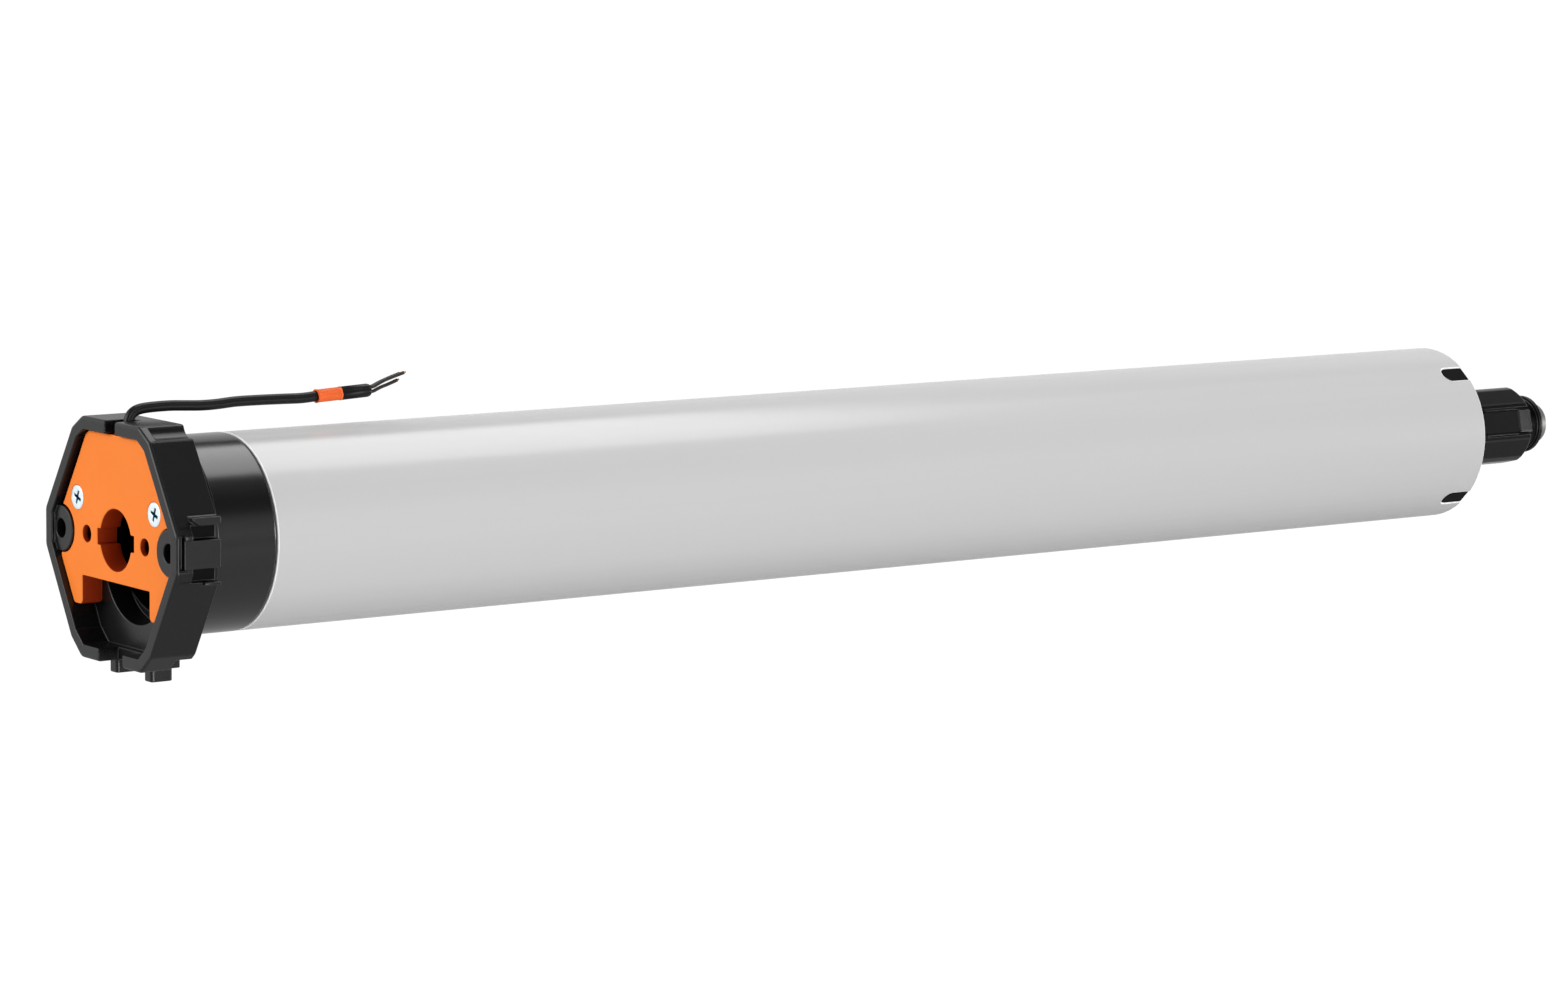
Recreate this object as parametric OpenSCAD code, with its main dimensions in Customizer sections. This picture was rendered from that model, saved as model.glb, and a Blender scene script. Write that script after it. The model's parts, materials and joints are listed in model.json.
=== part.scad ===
// Tubular roller blind motor: a hexagonal head with a bright face plate, an idle ring,
// a plain tube holding electronics, motor, brake and a three-stage planetary gear,
// and an eight-sided drive hub at the far end.
// X runs along the motor from the face plate to the drive hub, Z is up.
// The origin is the centre of the keyed round socket on the front of the face plate.

/* [Tube] */
// Outside diameter of the motor tube
tube_d = 45; // [44.5:0.1:46]
// Wall of the motor tube
tube_wall = 1.2; // [0.8:0.1:1.5]
// Length of the motor tube
tube_l = 372.5; // [360:0.5:420]
// Width of the key slots in the drive end of the tube
key_slot_w = 4.5; // [3.5:0.1:6]
// Length of the key slots, along the tube
key_slot_l = 8.5; // [7:0.5:13]

/* [Head] */
// Width over the two side corners of the head
head_w = 59; // [58:0.5:62]
// Height of the head above the motor axis
head_top = 26.7; // [26.5:0.1:29]
// Depth of the head below the motor axis
head_bottom = 27.9; // [27.5:0.1:30]
// Width of the flat on top of the head
head_top_w = 25.5; // [22:0.5:27]
// Width over the shoulders of the head
shoulder_w = 34.6; // [33:0.2:37]
// Drop from the top flat to the shoulders
shoulder_drop = 2.9; // [2.5:0.1:3.5]
// Height of the upright faces at the side corners
corner_h = 8.5; // [7:0.5:9]
// Width over the lower corners of the head
low_w = 36; // [34:0.5:38]
// Drop from the motor axis to the lower corners
low_drop = 23.9; // [23:0.1:24.5]
// Width of the flat under the head
head_bottom_w = 26.7; // [25:0.5:29]
// Depth of the head from the face plate's front to the back of the hexagon
head_depth = 10; // [9:0.5:13]
// Width of the rim around the face plate
rim_w = 3; // [2.5:0.1:3.3]
// How far the rim stands proud of the face plate
rim_proud = 1.4; // [0.8:0.1:2]
// Chamfer on the outer edge of the rim
rim_chamfer = 0.4; // [0.3:0.1:1]
// Width of the cable slot in the top of the head
cable_slot_w = 4.5; // [3.6:0.1:6]
// Width of the gap in the rim under the head
rim_gap_w = 10.8; // [8:0.2:11.5]
// Radius of the window in the back wall behind the face plate
window_r = 14; // [12:0.5:14.5]
// Drop of the window's centre below the motor axis
window_drop = 5.3; // [4:0.1:6]
// Radius of the round collar behind the hexagon
collar_r = 25; // [23.5:0.5:26]
// Thickness of the round collar
collar_t = 2; // [1.5:0.1:3]
// Drop of the two feet below the head
foot_drop = 3.1; // [2:0.1:4]
// Width of each foot, across the head
foot_w = 3.5; // [2.5:0.1:4.5]
// Length of each foot, along the motor
foot_l = 5.5; // [4:0.1:6]
// Distance between the middles of the feet
foot_pitch = 15.4; // [14:0.2:17]

/* [Clips] */
// Height of the pillar at each side corner, between the two clip pockets
pillar_h = 6.4; // [5:0.1:7]
// Height of the upper clip pocket
clip_h = 3.1; // [2.8:0.1:3.4]
// Height of the lower clip pocket
low_clip_h = 3; // [2.5:0.1:3.5]
// Depth of the clip pockets from the side of the head
clip_depth = 2.9; // [2.5:0.1:3.3]
// Thickness of the upper lug that closes a clip pocket
lug_t = 1.9; // [1.4:0.1:2.2]
// Thickness of the lower lug that closes a clip pocket
low_lug_t = 0.8; // [0.6:0.1:1.2]
// How far the lugs stay behind the side of the head
lug_set_back = 0.3; // [0.1:0.1:0.7]

/* [Face plate] */
// Thickness of the face plate
plate_t = 5.2; // [4.5:0.1:6]
// Gap between the face plate and the rim
plate_gap = 0.25; // [0.15:0.05:0.4]
// Width of the face plate at its top edge
plate_top_w = 25.2; // [22:0.2:26]
// Radius on the corners of the face plate
plate_corner_r = 1.2; // [0.8:0.1:2]
// Radius of the central socket
socket_r = 7; // [6.5:0.1:7.5]
// Width of the two keyways of the socket
keyway_w = 3.7; // [3:0.1:4.2]
// Depth of the keyways beyond the socket's wall
keyway_d = 1.2; // [0.8:0.1:1.6]
// Distance between the two bracket pin holes
pin_pitch = 25.8; // [25:0.1:27]
// Radius of the bracket pin holes
pin_hole_r = 1.95; // [1.6:0.05:2.2]
// Width of the notch under the face plate
notch_w = 30; // [28:0.2:31]
// Drop from the motor axis to the top of the notch
notch_top = 9.6; // [9.2:0.1:10.5]
// Drop from the motor axis to the ends of the plate's legs
leg_drop = 16.3; // [15:0.1:17]

/* [Fixings] */
// Distance between the two bracket screw holes
screw_hole_pitch = 48; // [47:0.1:49]
// Radius of the bracket screw holes
screw_hole_r = 2.15; // [1.8:0.05:2.4]
// Depth of the bracket screw holes
screw_hole_depth = 8.5; // [7:0.1:9]
// Radius of the bosses round the bracket screw holes
boss_r = 5.2; // [4.8:0.1:5.5]
// Distance between the two plate screws
plate_screw_pitch = 34.26; // [33.5:0.1:35]
// Height of the plate screws above the motor axis
plate_screw_z = 7.73; // [7.5:0.1:9]
// Radius of the plate screws' heads
screw_head_r = 2.75; // [2.4:0.05:2.9]
// Radius of the plate screws' shanks
screw_shank_r = 1.5; // [1.2:0.05:1.7]
// Length of the plate screws
screw_l = 9; // [8:0.5:9.5]

/* [Running ring] */
// Length of the running ring, along the motor
ring_l = 15.7; // [12:0.1:20]
// Wall of the running ring
ring_wall = 2.5; // [2:0.1:3]
// End play of the running ring
ring_play = 0.4; // [0.3:0.1:0.6]
// Wall of the hollow spigot that the ring turns on
spigot_wall = 2.6; // [2:0.1:3]
// Length of the spigot inside the tube
spigot_in_tube = 18; // [14:0.5:22]

/* [Electronics] */
// Thickness of the circuit boards
board_t = 1.6; // [1:0.1:2]
// Width of the control board
board_w = 33; // [28:0.5:35]
// Drop of the control board below the motor axis
board_drop = 6; // [4:0.5:9]
// Wall of the trough that carries the control board
tray_wall = 1.6; // [1:0.1:2]
// Radius of the run capacitor
capacitor_r = 14; // [11:0.5:16]
// Length of the run capacitor
capacitor_l = 55; // [45:1:60]

/* [Motor] */
// Radius of the rotor core
rotor_r = 8.5; // [7.5:0.1:9]
// Length of the rotor core
rotor_l = 40; // [35:1:45]
// Length of the stator stack
stator_l = 60; // [50:1:65]
// Radius of the rotor shaft
rotor_shaft_r = 3; // [2.5:0.1:3.4]
// Outside radius of the rotor bearings
bearing_r = 9.5; // [8:0.1:11]
// Width of the rotor bearings
bearing_w = 6; // [4:0.5:7]
// Length of the winding ends beyond the stator stack
winding_end_l = 9; // [7:0.5:12]
// Thickness of the two end bells
end_bell_t = 8; // [7.5:0.5:10]

/* [Brake] */
// Length of the brake magnet
brake_magnet_l = 13; // [11:0.5:16]
// Thickness of the brake armature
armature_t = 2.5; // [2:0.1:3]
// Radius of the brake armature
armature_r = 18.5; // [17:0.5:19.5]
// Thickness of the brake disc
brake_disc_t = 3; // [2:0.1:4]
// Travel of the armature when the brake lets go
brake_travel = 0.4; // [0.3:0.05:0.5]

/* [Gears] */
// Wall of the toothed sleeve behind its teeth
gear_wall = 3.57; // [3:0.01:4]
// Width of the planets of the first and second stages
planet_w = 8; // [6:0.5:10]
// Width of the planets of the last stage
last_planet_w = 12; // [10:0.5:14]
// Thickness of the first and second planet carriers
carrier_t = 4; // [3:0.5:5]
// Thickness of the output carrier
output_carrier_t = 8; // [6:0.5:10]
// Radius of the pins that the planets turn on
planet_pin_r = 2; // [1.6:0.1:2.5]

/* [Drive end] */
// Length of the end cap inside the tube
cap_l = 14; // [13:0.5:18]
// Radius of the output shaft
output_shaft_r = 6; // [5.5:0.1:6.4]
// Wall of the bush round the output shaft
bush_wall = 1.5; // [1:0.1:2]
// Distance across the flats of the drive hub
hub_af = 20; // [19.4:0.1:20.8]
// Radius that the corners of the drive hub are turned down to
hub_corner_r = 10.45; // [10.4:0.05:10.8]
// Length of the eight-sided part of the drive hub, outside the tube
hub_l = 29.3; // [25:0.1:34]
// Turn of the drive hub about the motor axis, in degrees
hub_turn = 14; // [0:1:44]
// Length of the chamfered shoulder of the drive hub
hub_shoulder_l = 2.5; // [2:0.1:3.5]
// Radius of the snap groove of the drive hub
groove_r = 6.9; // [6.8:0.05:7.2]
// Width of the snap groove
groove_w = 3.4; // [2.6:0.1:4]
// Radius of the flange at the end of the drive hub
flange_r = 7.7; // [7.5:0.1:8]
// Thickness of that flange
flange_t = 1.3; // [1:0.1:2]
// Radius of the metal washer on the end
end_washer_r = 5.5; // [5:0.1:6.5]
// Thickness of that washer
end_washer_t = 3.6; // [3:0.1:4]

/* [Lead] */
// Diameter of the lead
lead_d = 2.4; // [2:0.1:2.8]
// Diameter of the marker band on the lead
band_d = 3; // [2.8:0.1:3.4]
// Length of the marker band
band_l = 6.4; // [5:0.1:8]
// Diameter of the shrunk sleeve at the end of the lead
sleeve_d = 3.1; // [2.6:0.1:3.2]
// Length of the shrunk sleeve
sleeve_l = 8; // [6:0.1:10]
// Diameter of the bare wire ends
wire_d = 0.8; // [0.6:0.05:0.9]

/* [Hidden] */
$fn = 96;

// Clearances shared by the fits
run_clear = 0.06;
seat_clear = 0.05;
side_clear = 0.3;
// How far cuts run past a face, and how far fused pieces run into each other
cut_over = 1;
fuse_over = 0.5;

// Places along the motor
collar_x = head_depth + collar_t;
ring_x0 = collar_x + ring_play;
ring_x1 = ring_x0 + ring_l;
tube_x0 = ring_x1 + ring_play;
tube_x1 = tube_x0 + tube_l;
spigot_x1 = tube_x0 + spigot_in_tube;
cap_x0 = tube_x1 - cap_l;

// Radii from the tube inwards
tube_r = tube_d / 2;
bore_r = tube_r - tube_wall;
plug_r = bore_r - seat_clear;
ring_in_r = tube_r - ring_wall;
ring_chamfer = 0.4;
spigot_r = ring_in_r - run_clear;
spigot_in_r = spigot_r - spigot_wall;

// Outline of the head, right half from top to bottom
head_half = [
    [head_top_w / 2, head_top],
    [shoulder_w / 2, head_top - shoulder_drop],
    [head_w / 2, corner_h / 2],
    [head_w / 2, -corner_h / 2],
    [low_w / 2, -low_drop],
    [head_bottom_w / 2, -head_bottom]
];
head_points = mirrored(head_half);
rim_x = -rim_proud;
rim_edge = 0.1;
// Depth of the plain rim in front of the coves
rim_depth = 2.2;
// How far the bosses of the bracket screws stand proud of the face plate
boss_proud = 0.4;
rim_gap_depth = 5.2;
// Step in the back of the head beside the feet
back_step_x = head_depth - 4;
back_step_half_w = 11.2;
back_step_z = -(head_bottom - 2.7);
foot_x0 = head_depth - foot_l - 0.8;
foot_round = 0.8;
// Clip pockets, lugs and the pillar between them
lug_x0 = 2.8;
low_lug_x0 = 5.8;
lug_root = 1;
clip_floor = head_w / 2 - clip_depth;
lug_reach = head_w / 2 - lug_set_back;
lug_slope = 1.8;
pillar_step = 0.4;
pillar_front = 0.7;
// Groove between the rim and each pillar
corner_groove_x0 = rim_x + 2 * rim_chamfer;
corner_groove_depth = 1.5;
// Hollow of the coves, and the plain edge above and below them
cove_sagitta = 1;
cove_edge = 0.4;
// Rounding of the head's outline
outline_round = 2.2;

// Face plate and its screws
plate_side_half_w = head_w / 2 - 5;
plate_web = 1.6;
channel_z = socket_r + 2;
head_edge = 0.3;
recess_turn = 20;

// Gear train: three equal stages of 4.5 to 1 in one toothed sleeve
sun_teeth = 12;
planet_teeth = 15;
sleeve_teeth = sun_teeth + 2 * planet_teeth;
planets = 3;
pressure_angle = 25;
tooth_height = 0.8;
tooth_depth = 1.1;
gear_module = (plug_r - gear_wall) / (sleeve_teeth / 2 + tooth_depth);
addendum = tooth_height * gear_module;
dedendum = tooth_depth * gear_module;
tooth_thinning = 0.14;
flank_steps = 3;
sun_pitch_r = gear_module * sun_teeth / 2;
planet_pitch_r = gear_module * planet_teeth / 2;
sleeve_pitch_r = gear_module * sleeve_teeth / 2;
planet_orbit_r = sun_pitch_r + planet_pitch_r;
carrier_r = sleeve_pitch_r - addendum - 0.6;
sun_stub_r = 3;
gear_gap = 0.4;

// Gear stages along the motor, from the end cap back to the brake
output_carrier_x1 = cap_x0 - gear_gap;
output_carrier_x0 = output_carrier_x1 - output_carrier_t;
stage3_x1 = output_carrier_x0 - gear_gap;
stage3_x0 = stage3_x1 - last_planet_w;
carrier2_x1 = stage3_x0 - gear_gap;
carrier2_x0 = carrier2_x1 - carrier_t;
stage2_x1 = carrier2_x0 - gear_gap;
stage2_x0 = stage2_x1 - planet_w;
carrier1_x1 = stage2_x0 - gear_gap;
carrier1_x0 = carrier1_x1 - carrier_t;
stage1_x1 = carrier1_x0 - gear_gap;
stage1_x0 = stage1_x1 - planet_w;
gear_cover_t = 4;
gear_cover_gap = 1;
gear_cover_x1 = stage1_x0 - gear_cover_gap;
gear_cover_x0 = gear_cover_x1 - gear_cover_t;

// Brake, from the gear cover back to the motor
shaft_gap = 0.8;
brake_disc_x1 = gear_cover_x0 - side_clear;
brake_disc_x0 = brake_disc_x1 - brake_disc_t;
armature_x1 = brake_disc_x0 - side_clear;
armature_x0 = armature_x1 - armature_t;
magnet_x1 = armature_x0 - brake_travel - side_clear;
magnet_x0 = magnet_x1 - brake_magnet_l;
brake_disc_r = 16;
coil_r0 = 8;
coil_r1 = 14;
coil_l = 8;
spring_r0 = 5;
spring_r1 = 6.5;
spring_l = 6;
guide_pin_r = 1.2;
guide_pin_orbit_r = armature_r - 2.4;

// Motor, from the brake back to the encoder
winding_gap = 0.6;
front_bell_x0 = magnet_x0 - end_bell_t;
stator_x1 = front_bell_x0 - winding_end_l - winding_gap;
stator_x0 = stator_x1 - stator_l;
rear_bell_x1 = stator_x0 - winding_end_l - winding_gap;
rear_bell_x0 = rear_bell_x1 - end_bell_t;
rotor_x0 = (stator_x0 + stator_x1 - rotor_l) / 2;
air_gap = 0.5;
stator_slots = 12;
stator_slot_w = 3;
stator_slot_r0 = rotor_r + air_gap + 1.2;
stator_slot_r1 = 17;
race_w = 1.5;
race_groove = 0.4;
magnet_wheel_t = 4;
magnet_wheel_r = 6;
magnet_wheel_x0 = rear_bell_x0 - magnet_wheel_t - 0.5;
encoder_x1 = magnet_wheel_x0 - 0.5;
encoder_x0 = encoder_x1 - board_t;

// Electronics, between the spigot and the encoder
capacitor_gap = 0.5;
capacitor_edge = 1;
capacitor_x1 = encoder_x0 - capacitor_gap;
capacitor_x0 = capacitor_x1 - capacitor_l;
tray_x0 = spigot_x1 + 0.5;
tray_x1 = encoder_x0;
tray_channel_w = 24;
board_x0 = tray_x0 + 2;
board_x1 = capacitor_x0 - capacitor_gap;
board_z = -board_drop;
terminal_gap = 1;
terminal_size = [10, 16, 9];
relay_gap = 3;
relay_size = [20, 10, 13];
supply_coil_size = [24, 22, 15];
// The parts stand evenly along the board
board_gap = (board_x1 - board_x0 - terminal_gap - terminal_size[0] - relay_size[0] - supply_coil_size[0]) / 3;
relay_x = terminal_gap + terminal_size[0] + board_gap;
supply_coil_x = relay_x + relay_size[0] + board_gap;

// Drive end
cap_sink = 0.3;
cap_x1 = tube_x1 - cap_sink;
cap_dish = 3;
cap_rim = 2.5;
key_angles = [40, 135, 225, 320];
key_clear = 0.1;
key_sink = 0.3;
bush_r = output_shaft_r + run_clear + bush_wall;
bush_flange = 1.5;
hub_x0 = tube_x1 + 0.6;
hub_x1 = tube_x1 + hub_l;
shoulder_x1 = hub_x1 + hub_shoulder_l;
groove_x1 = shoulder_x1 + groove_w;
flange_x1 = groove_x1 + flange_t;
flange_chamfer = 0.3;
end_x = flange_x1 + end_washer_t;
shoulder_r = 8.2;
tongue_w = 6.8;
tongue_slit = 0.6;
tongue_slit_depth = 1.1;
tongue_l = 16;
tongue_slope_x = hub_x1 - 3.6;
tongue_end_x = hub_x1 + 2.3;
end_screw_head_r = 4;
end_screw_shank_r = 2;
end_screw_l = 14;

// Route of the lead in the plane of the motor axis, from its clamp to the marker band
clamp_z = 14;
clamp_top = 20;
passage_z = 15.5;
lead_route = [
    [3.4, 20], [3.4, 23], [3.4, 25.4], [3.75, 27.2], [4.8, 28.4], [6.5, 29], [9.5, 29.25], [14, 29.3],
    [18, 29.1], [22, 28.9], [26, 28.95], [31, 29.25], [37, 29.25], [43, 29.15], [48, 29.05], [52, 29.27]
];
// Place and slope of the lead's tail, that is its band, sleeve and wire ends
tail_x = 52;
tail_z = 29.27;
tail_slope = 2.5;
sleeve_bevel = 1;
// Routes of the three wire ends, from the end of the sleeve
wire_routes = [
    [[0, -0.4, 0.7], [1, -0.4, 0.8], [3.5, -0.3, 1.75], [6.5, -0.2, 2.5], [9.3, -0.1, 3.1]],
    [[0, 0.6, 0.6], [1, 0.65, 0.7], [3.5, 0.85, 1.5], [6.5, 0.95, 2.3], [8.8, 1, 2.85]],
    [[0, 0, -0.4], [1, 0, -0.35], [3, 0.1, 0.3], [5, 0.1, 0.8], [7.6, 0.2, 1.5]]
];
// Route of the lead inside the head, from its clamp to the terminal block
terminal_x0 = board_x0 + terminal_gap;
inner_route = [
    [3.4, 14], [3.4, 13.2], [3.9, 12.2], [5.2, 11.5], [8, 11.1], [13, 10.2], [19, 8.4], [25, 6.4],
    [31, 4.4], [37, 2.4], [43, 0.9], [terminal_x0 - 3, 0.5], [terminal_x0, 0.5]
];

// Points of a half outline followed by its mirror image
function mirrored(half) = concat(half, [for (i = [len(half) - 1:-1:0]) [-half[i][0], half[i][1]]]);

// Unit vector
function unit(v) = v / norm(v);

// A clockwise convex outline moved inwards by d
function inset(points, d) = [
    for (i = [0:len(points) - 1])
        let (n = len(points), b = points[i])
        let (u = unit(b - points[(i + n - 1) % n]), v = unit(points[(i + 1) % n] - b))
        let (nu = [u[1], -u[0]], nv = [v[1], -v[0]])
        b + d * (nu + nv) / (1 + nu * nv)
];

// Involute angle, in degrees
function involute(a) = tan(a) * 180 / PI - a;

// Half of a tooth's angle at radius r, for a tooth thinned at the pitch circle
function half_tooth(n, r, thin) =
    let (pitch_r = gear_module * n / 2, base_r = pitch_r * cos(pressure_angle))
    90 / n - thin / 2 / pitch_r * 180 / PI
    + involute(pressure_angle) - involute(acos(min(1, base_r / r)));

// Outline of n teeth between two radii, with a tooth on the first axis
function teeth(n, root_r, tip_r, thin) = [
    for (k = [0:n - 1], i = [0:2 * flank_steps + 1])
        let (s = i <= flank_steps ? i : 2 * flank_steps + 1 - i)
        let (r = root_r + (tip_r - root_r) * s / flank_steps)
        let (a = k * 360 / n + (i <= flank_steps ? -1 : 1) * half_tooth(n, r, thin))
        r * [cos(a), sin(a)]
];

// Rod along the motor
module rod_x(x0, x1, r) {
    translate([x0, 0, 0]) rotate([0, 90, 0]) cylinder(h = x1 - x0, r = r);
}

// Tube along the motor
module sleeve_x(x0, x1, r, in_r) {
    difference() {
        rod_x(x0, x1, r);
        rod_x(x0 - cut_over, x1 + cut_over, in_r);
    }
}

// Flat outline across the motor, drawn out along it
module slab_x(x0, x1) {
    translate([x0, 0, 0]) rotate([90, 0, 90]) linear_extrude(x1 - x0) children();
}

// Profile of radius and place along the motor, turned about the motor axis
module turned_x() {
    rotate([0, 90, 0]) rotate_extrude() children();
}

// Copies at the right and the left side of the head
module both_sides(y) {
    for (s = [-1, 1]) translate([0, s * y, 0]) children();
}

// Block between two corners
module block(low, high) {
    translate(low) cube(high - low);
}

// Tube swept along points, in a plane that holds the X axis or close to it
module swept(points, d, sides) {
    n = len(points);
    function along(i) = unit(points[min(i + 1, n - 1)] - points[max(i - 1, 0)]);
    function ring(i) = let (t = along(i), a = unit(cross([0, 1, 0], t)), b = cross(t, a))
        [for (k = [0:sides - 1]) points[i] + d / 2 * (cos(k * 360 / sides) * a + sin(k * 360 / sides) * b)];
    walls = [
        for (i = [0:n - 2], k = [0:sides - 1], half = [0, 1])
            let (a = i * sides + k, b = i * sides + (k + 1) % sides)
            half == 0 ? [a, b + sides, b] : [a, a + sides, b + sides]
    ];
    start = [for (k = [1:sides - 2]) [0, k, k + 1]];
    last = (n - 1) * sides;
    end = [for (k = [1:sides - 2]) [last, last + k + 1, last + k]];
    polyhedron([for (i = [0:n - 1]) each ring(i)], concat(start, walls, end));
}

// Countersunk screw pointing along the motor, with the face of its head at x = 0
module countersunk(head_r, shank_r, l) {
    turned_x() polygon([
        [0, 0], [head_r, 0], [head_r, head_edge],
        [shank_r, head_edge + head_r - shank_r], [shank_r, l], [0, l]
    ]);
}

// Cross recess cut into a countersunk head
module cross_recess(head_r) {
    for (a = [0, 90]) rotate([a + recess_turn, 0, 0])
        block([-cut_over, -0.58 * head_r, -0.13 * head_r], [0.45 * head_r, 0.58 * head_r, 0.13 * head_r]);
}

// Outline of the head with rounded corners, moved inwards by d
module head_outline(d) {
    offset(r = outline_round, $fn = 40) polygon(inset(head_points, d + outline_round));
}

// Convex body of the head, with a chamfered front edge
module head_body() {
    hull() {
        slab_x(rim_x, rim_x + rim_edge) head_outline(rim_chamfer);
        slab_x(rim_x + rim_chamfer, head_depth) head_outline(0);
    }
}

// Hollow coves along the two upper edges, behind the rim
module head_coves() {
    top = [head_top_w / 2, head_top];
    shoulder = [shoulder_w / 2, head_top - shoulder_drop];
    from = top + unit(shoulder - top) * cove_edge;
    to = shoulder + unit(top - shoulder) * cove_edge;
    chord = norm(to - from);
    cove_r = chord * chord / (8 * cove_sagitta) + cove_sagitta / 2;
    out = [from[1] - to[1], to[0] - from[0]] / chord;
    centre = (from + to) / 2 + out * (cove_r - cove_sagitta);
    both_sides(centre[0]) translate([0, 0, centre[1]])
        rod_x(rim_x + rim_depth, head_depth + cut_over, cove_r);
}

// Pockets for the bracket's spring clips, at the corner on the +Y side
module clip_pockets() {
    half = pillar_h / 2;
    block([lug_x0, clip_floor, half], [head_depth + cut_over, head_w, half + clip_h]);
    block([lug_x0, clip_floor, -half - low_clip_h], [head_depth + cut_over, head_w, -half]);
    block([corner_groove_x0, head_w / 2 - pillar_step, -half], [head_depth + cut_over, head_w, half]);
    block(
        [corner_groove_x0, head_w / 2 - corner_groove_depth, -half],
        [pillar_front, head_w, corner_h / 2]
    );
}

// Lugs that close those pockets
module clip_lugs() {
    high = pillar_h / 2 + clip_h;
    low = -pillar_h / 2 - low_clip_h;
    root_y = clip_floor - lug_root;
    translate([0, lug_reach, 0]) rotate([90, 0, 0]) linear_extrude(lug_reach - root_y) polygon([
        [lug_x0, high + lug_t - low_lug_t], [lug_x0, high + lug_t], [head_depth, high + lug_t],
        [head_depth, high], [lug_x0 + lug_slope, high]
    ]);
    block([low_lug_x0, root_y, low - low_lug_t], [head_depth, lug_reach, low]);
}

// Foot under the head, with rounded upright edges
module foot() {
    translate([foot_x0 + foot_round, foot_round - foot_w / 2, -head_bottom - foot_drop])
        linear_extrude(foot_drop + rim_w / 2)
            offset(r = foot_round, $fn = 24)
                square([foot_l - 2 * foot_round, foot_w - 2 * foot_round]);
}

module head_housing() {
    color("#1d1d1f") difference() {
        union() {
            difference() {
                union() {
                    difference() {
                        head_body();
                        slab_x(rim_x - cut_over, plate_t) polygon(inset(head_points, rim_w));
                    }
                    both_sides(screw_hole_pitch / 2) rod_x(-boss_proud, plate_t + fuse_over, boss_r);
                }
                head_coves();
                for (s = [0, 1]) mirror([0, s, 0]) clip_pockets();
                for (s = [0, 1]) mirror([0, s, 0])
                    block(
                        [back_step_x, back_step_half_w, -head_w],
                        [head_depth + cut_over, head_w, back_step_z]
                    );
            }
            for (s = [0, 1]) mirror([0, s, 0]) clip_lugs();
            both_sides(foot_pitch / 2) foot();
            rod_x(head_depth - fuse_over, collar_x, collar_r);
            rod_x(head_depth - fuse_over, spigot_x1, spigot_r);
        }
        translate([0, 0, -window_drop]) rod_x(plate_t - cut_over, head_depth + fuse_over, window_r);
        rod_x(head_depth, spigot_x1 + cut_over, spigot_in_r);
        block(
            [rim_x - cut_over, -cable_slot_w / 2, 0],
            [plate_t, cable_slot_w / 2, head_top + cut_over]
        );
        block(
            [plate_t - cut_over, -cable_slot_w / 2, 0],
            [head_depth + cut_over, cable_slot_w / 2, passage_z]
        );
        block(
            [rim_x - cut_over, -rim_gap_w / 2, -head_bottom - cut_over],
            [rim_x + rim_gap_depth, rim_gap_w / 2, -low_drop]
        );
        both_sides(screw_hole_pitch / 2)
            rod_x(-boss_proud - cut_over, screw_hole_depth - boss_proud, screw_hole_r);
        both_sides(plate_screw_pitch / 2) translate([0, 0, plate_screw_z])
            rod_x(plate_t - cut_over, screw_l + side_clear, screw_shank_r + seat_clear);
    }
}

// Outline of the face plate before the round cut-outs
module plate_outline() {
    top_z = head_top - rim_w - plate_gap;
    offset(r = plate_corner_r, $fn = 32) offset(delta = -plate_corner_r) difference() {
        intersection() {
            polygon(inset(head_points, rim_w + plate_gap));
            polygon(mirrored([
                [plate_top_w / 2, top_z], [plate_side_half_w, corner_h / 2], [plate_side_half_w, -leg_drop]
            ]));
        }
        translate([-notch_w / 2, -head_w - notch_top]) square([notch_w, head_w]);
    }
}

module face_plate() {
    color("#f98a35") difference() {
        slab_x(0, plate_t) plate_outline();
        both_sides(screw_hole_pitch / 2) rod_x(-cut_over, plate_t + cut_over, boss_r + plate_gap);
        rod_x(-cut_over, plate_t + cut_over, socket_r);
        block(
            [-cut_over, -socket_r - keyway_d, -keyway_w / 2],
            [plate_t + cut_over, socket_r + keyway_d, keyway_w / 2]
        );
        both_sides(pin_pitch / 2) rod_x(-cut_over, plate_t + cut_over, pin_hole_r);
        both_sides(plate_screw_pitch / 2) translate([0, 0, plate_screw_z]) {
            countersunk(screw_head_r + seat_clear, screw_shank_r + seat_clear, plate_t + cut_over);
            rod_x(-cut_over, head_edge, screw_head_r + seat_clear);
        }
        block([plate_web, -cable_slot_w / 2, channel_z], [plate_t + cut_over, cable_slot_w / 2, head_top]);
    }
}

module plate_screws() {
    color("#cfd6dc") both_sides(plate_screw_pitch / 2) translate([0, 0, plate_screw_z]) difference() {
        countersunk(screw_head_r, screw_shank_r, screw_l);
        cross_recess(screw_head_r);
    }
}

// Block that grips the lead in the channel behind the face plate
module lead_clamp() {
    half = cable_slot_w / 2 - seat_clear;
    color("#2b2b2d") block([plate_web + seat_clear, -half, clamp_z], [plate_t, half, clamp_top]);
}

// Place along the route as a point in space
function in_plane(route) = [for (p = route) [p[0], 0, p[1]]];

module inner_lead() {
    color("#202022") swept(in_plane(inner_route), lead_d, 8);
}

module lead() {
    color("#202022") swept(in_plane(lead_route), lead_d, 8);
}

// Tail of the lead, drawn along X from its own start
module on_tail() {
    translate([tail_x, 0, tail_z]) rotate([0, -tail_slope, 0]) children();
}

module marker_band() {
    color("#f4702a") on_tail() rod_x(0, band_l, band_d / 2);
}

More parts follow.
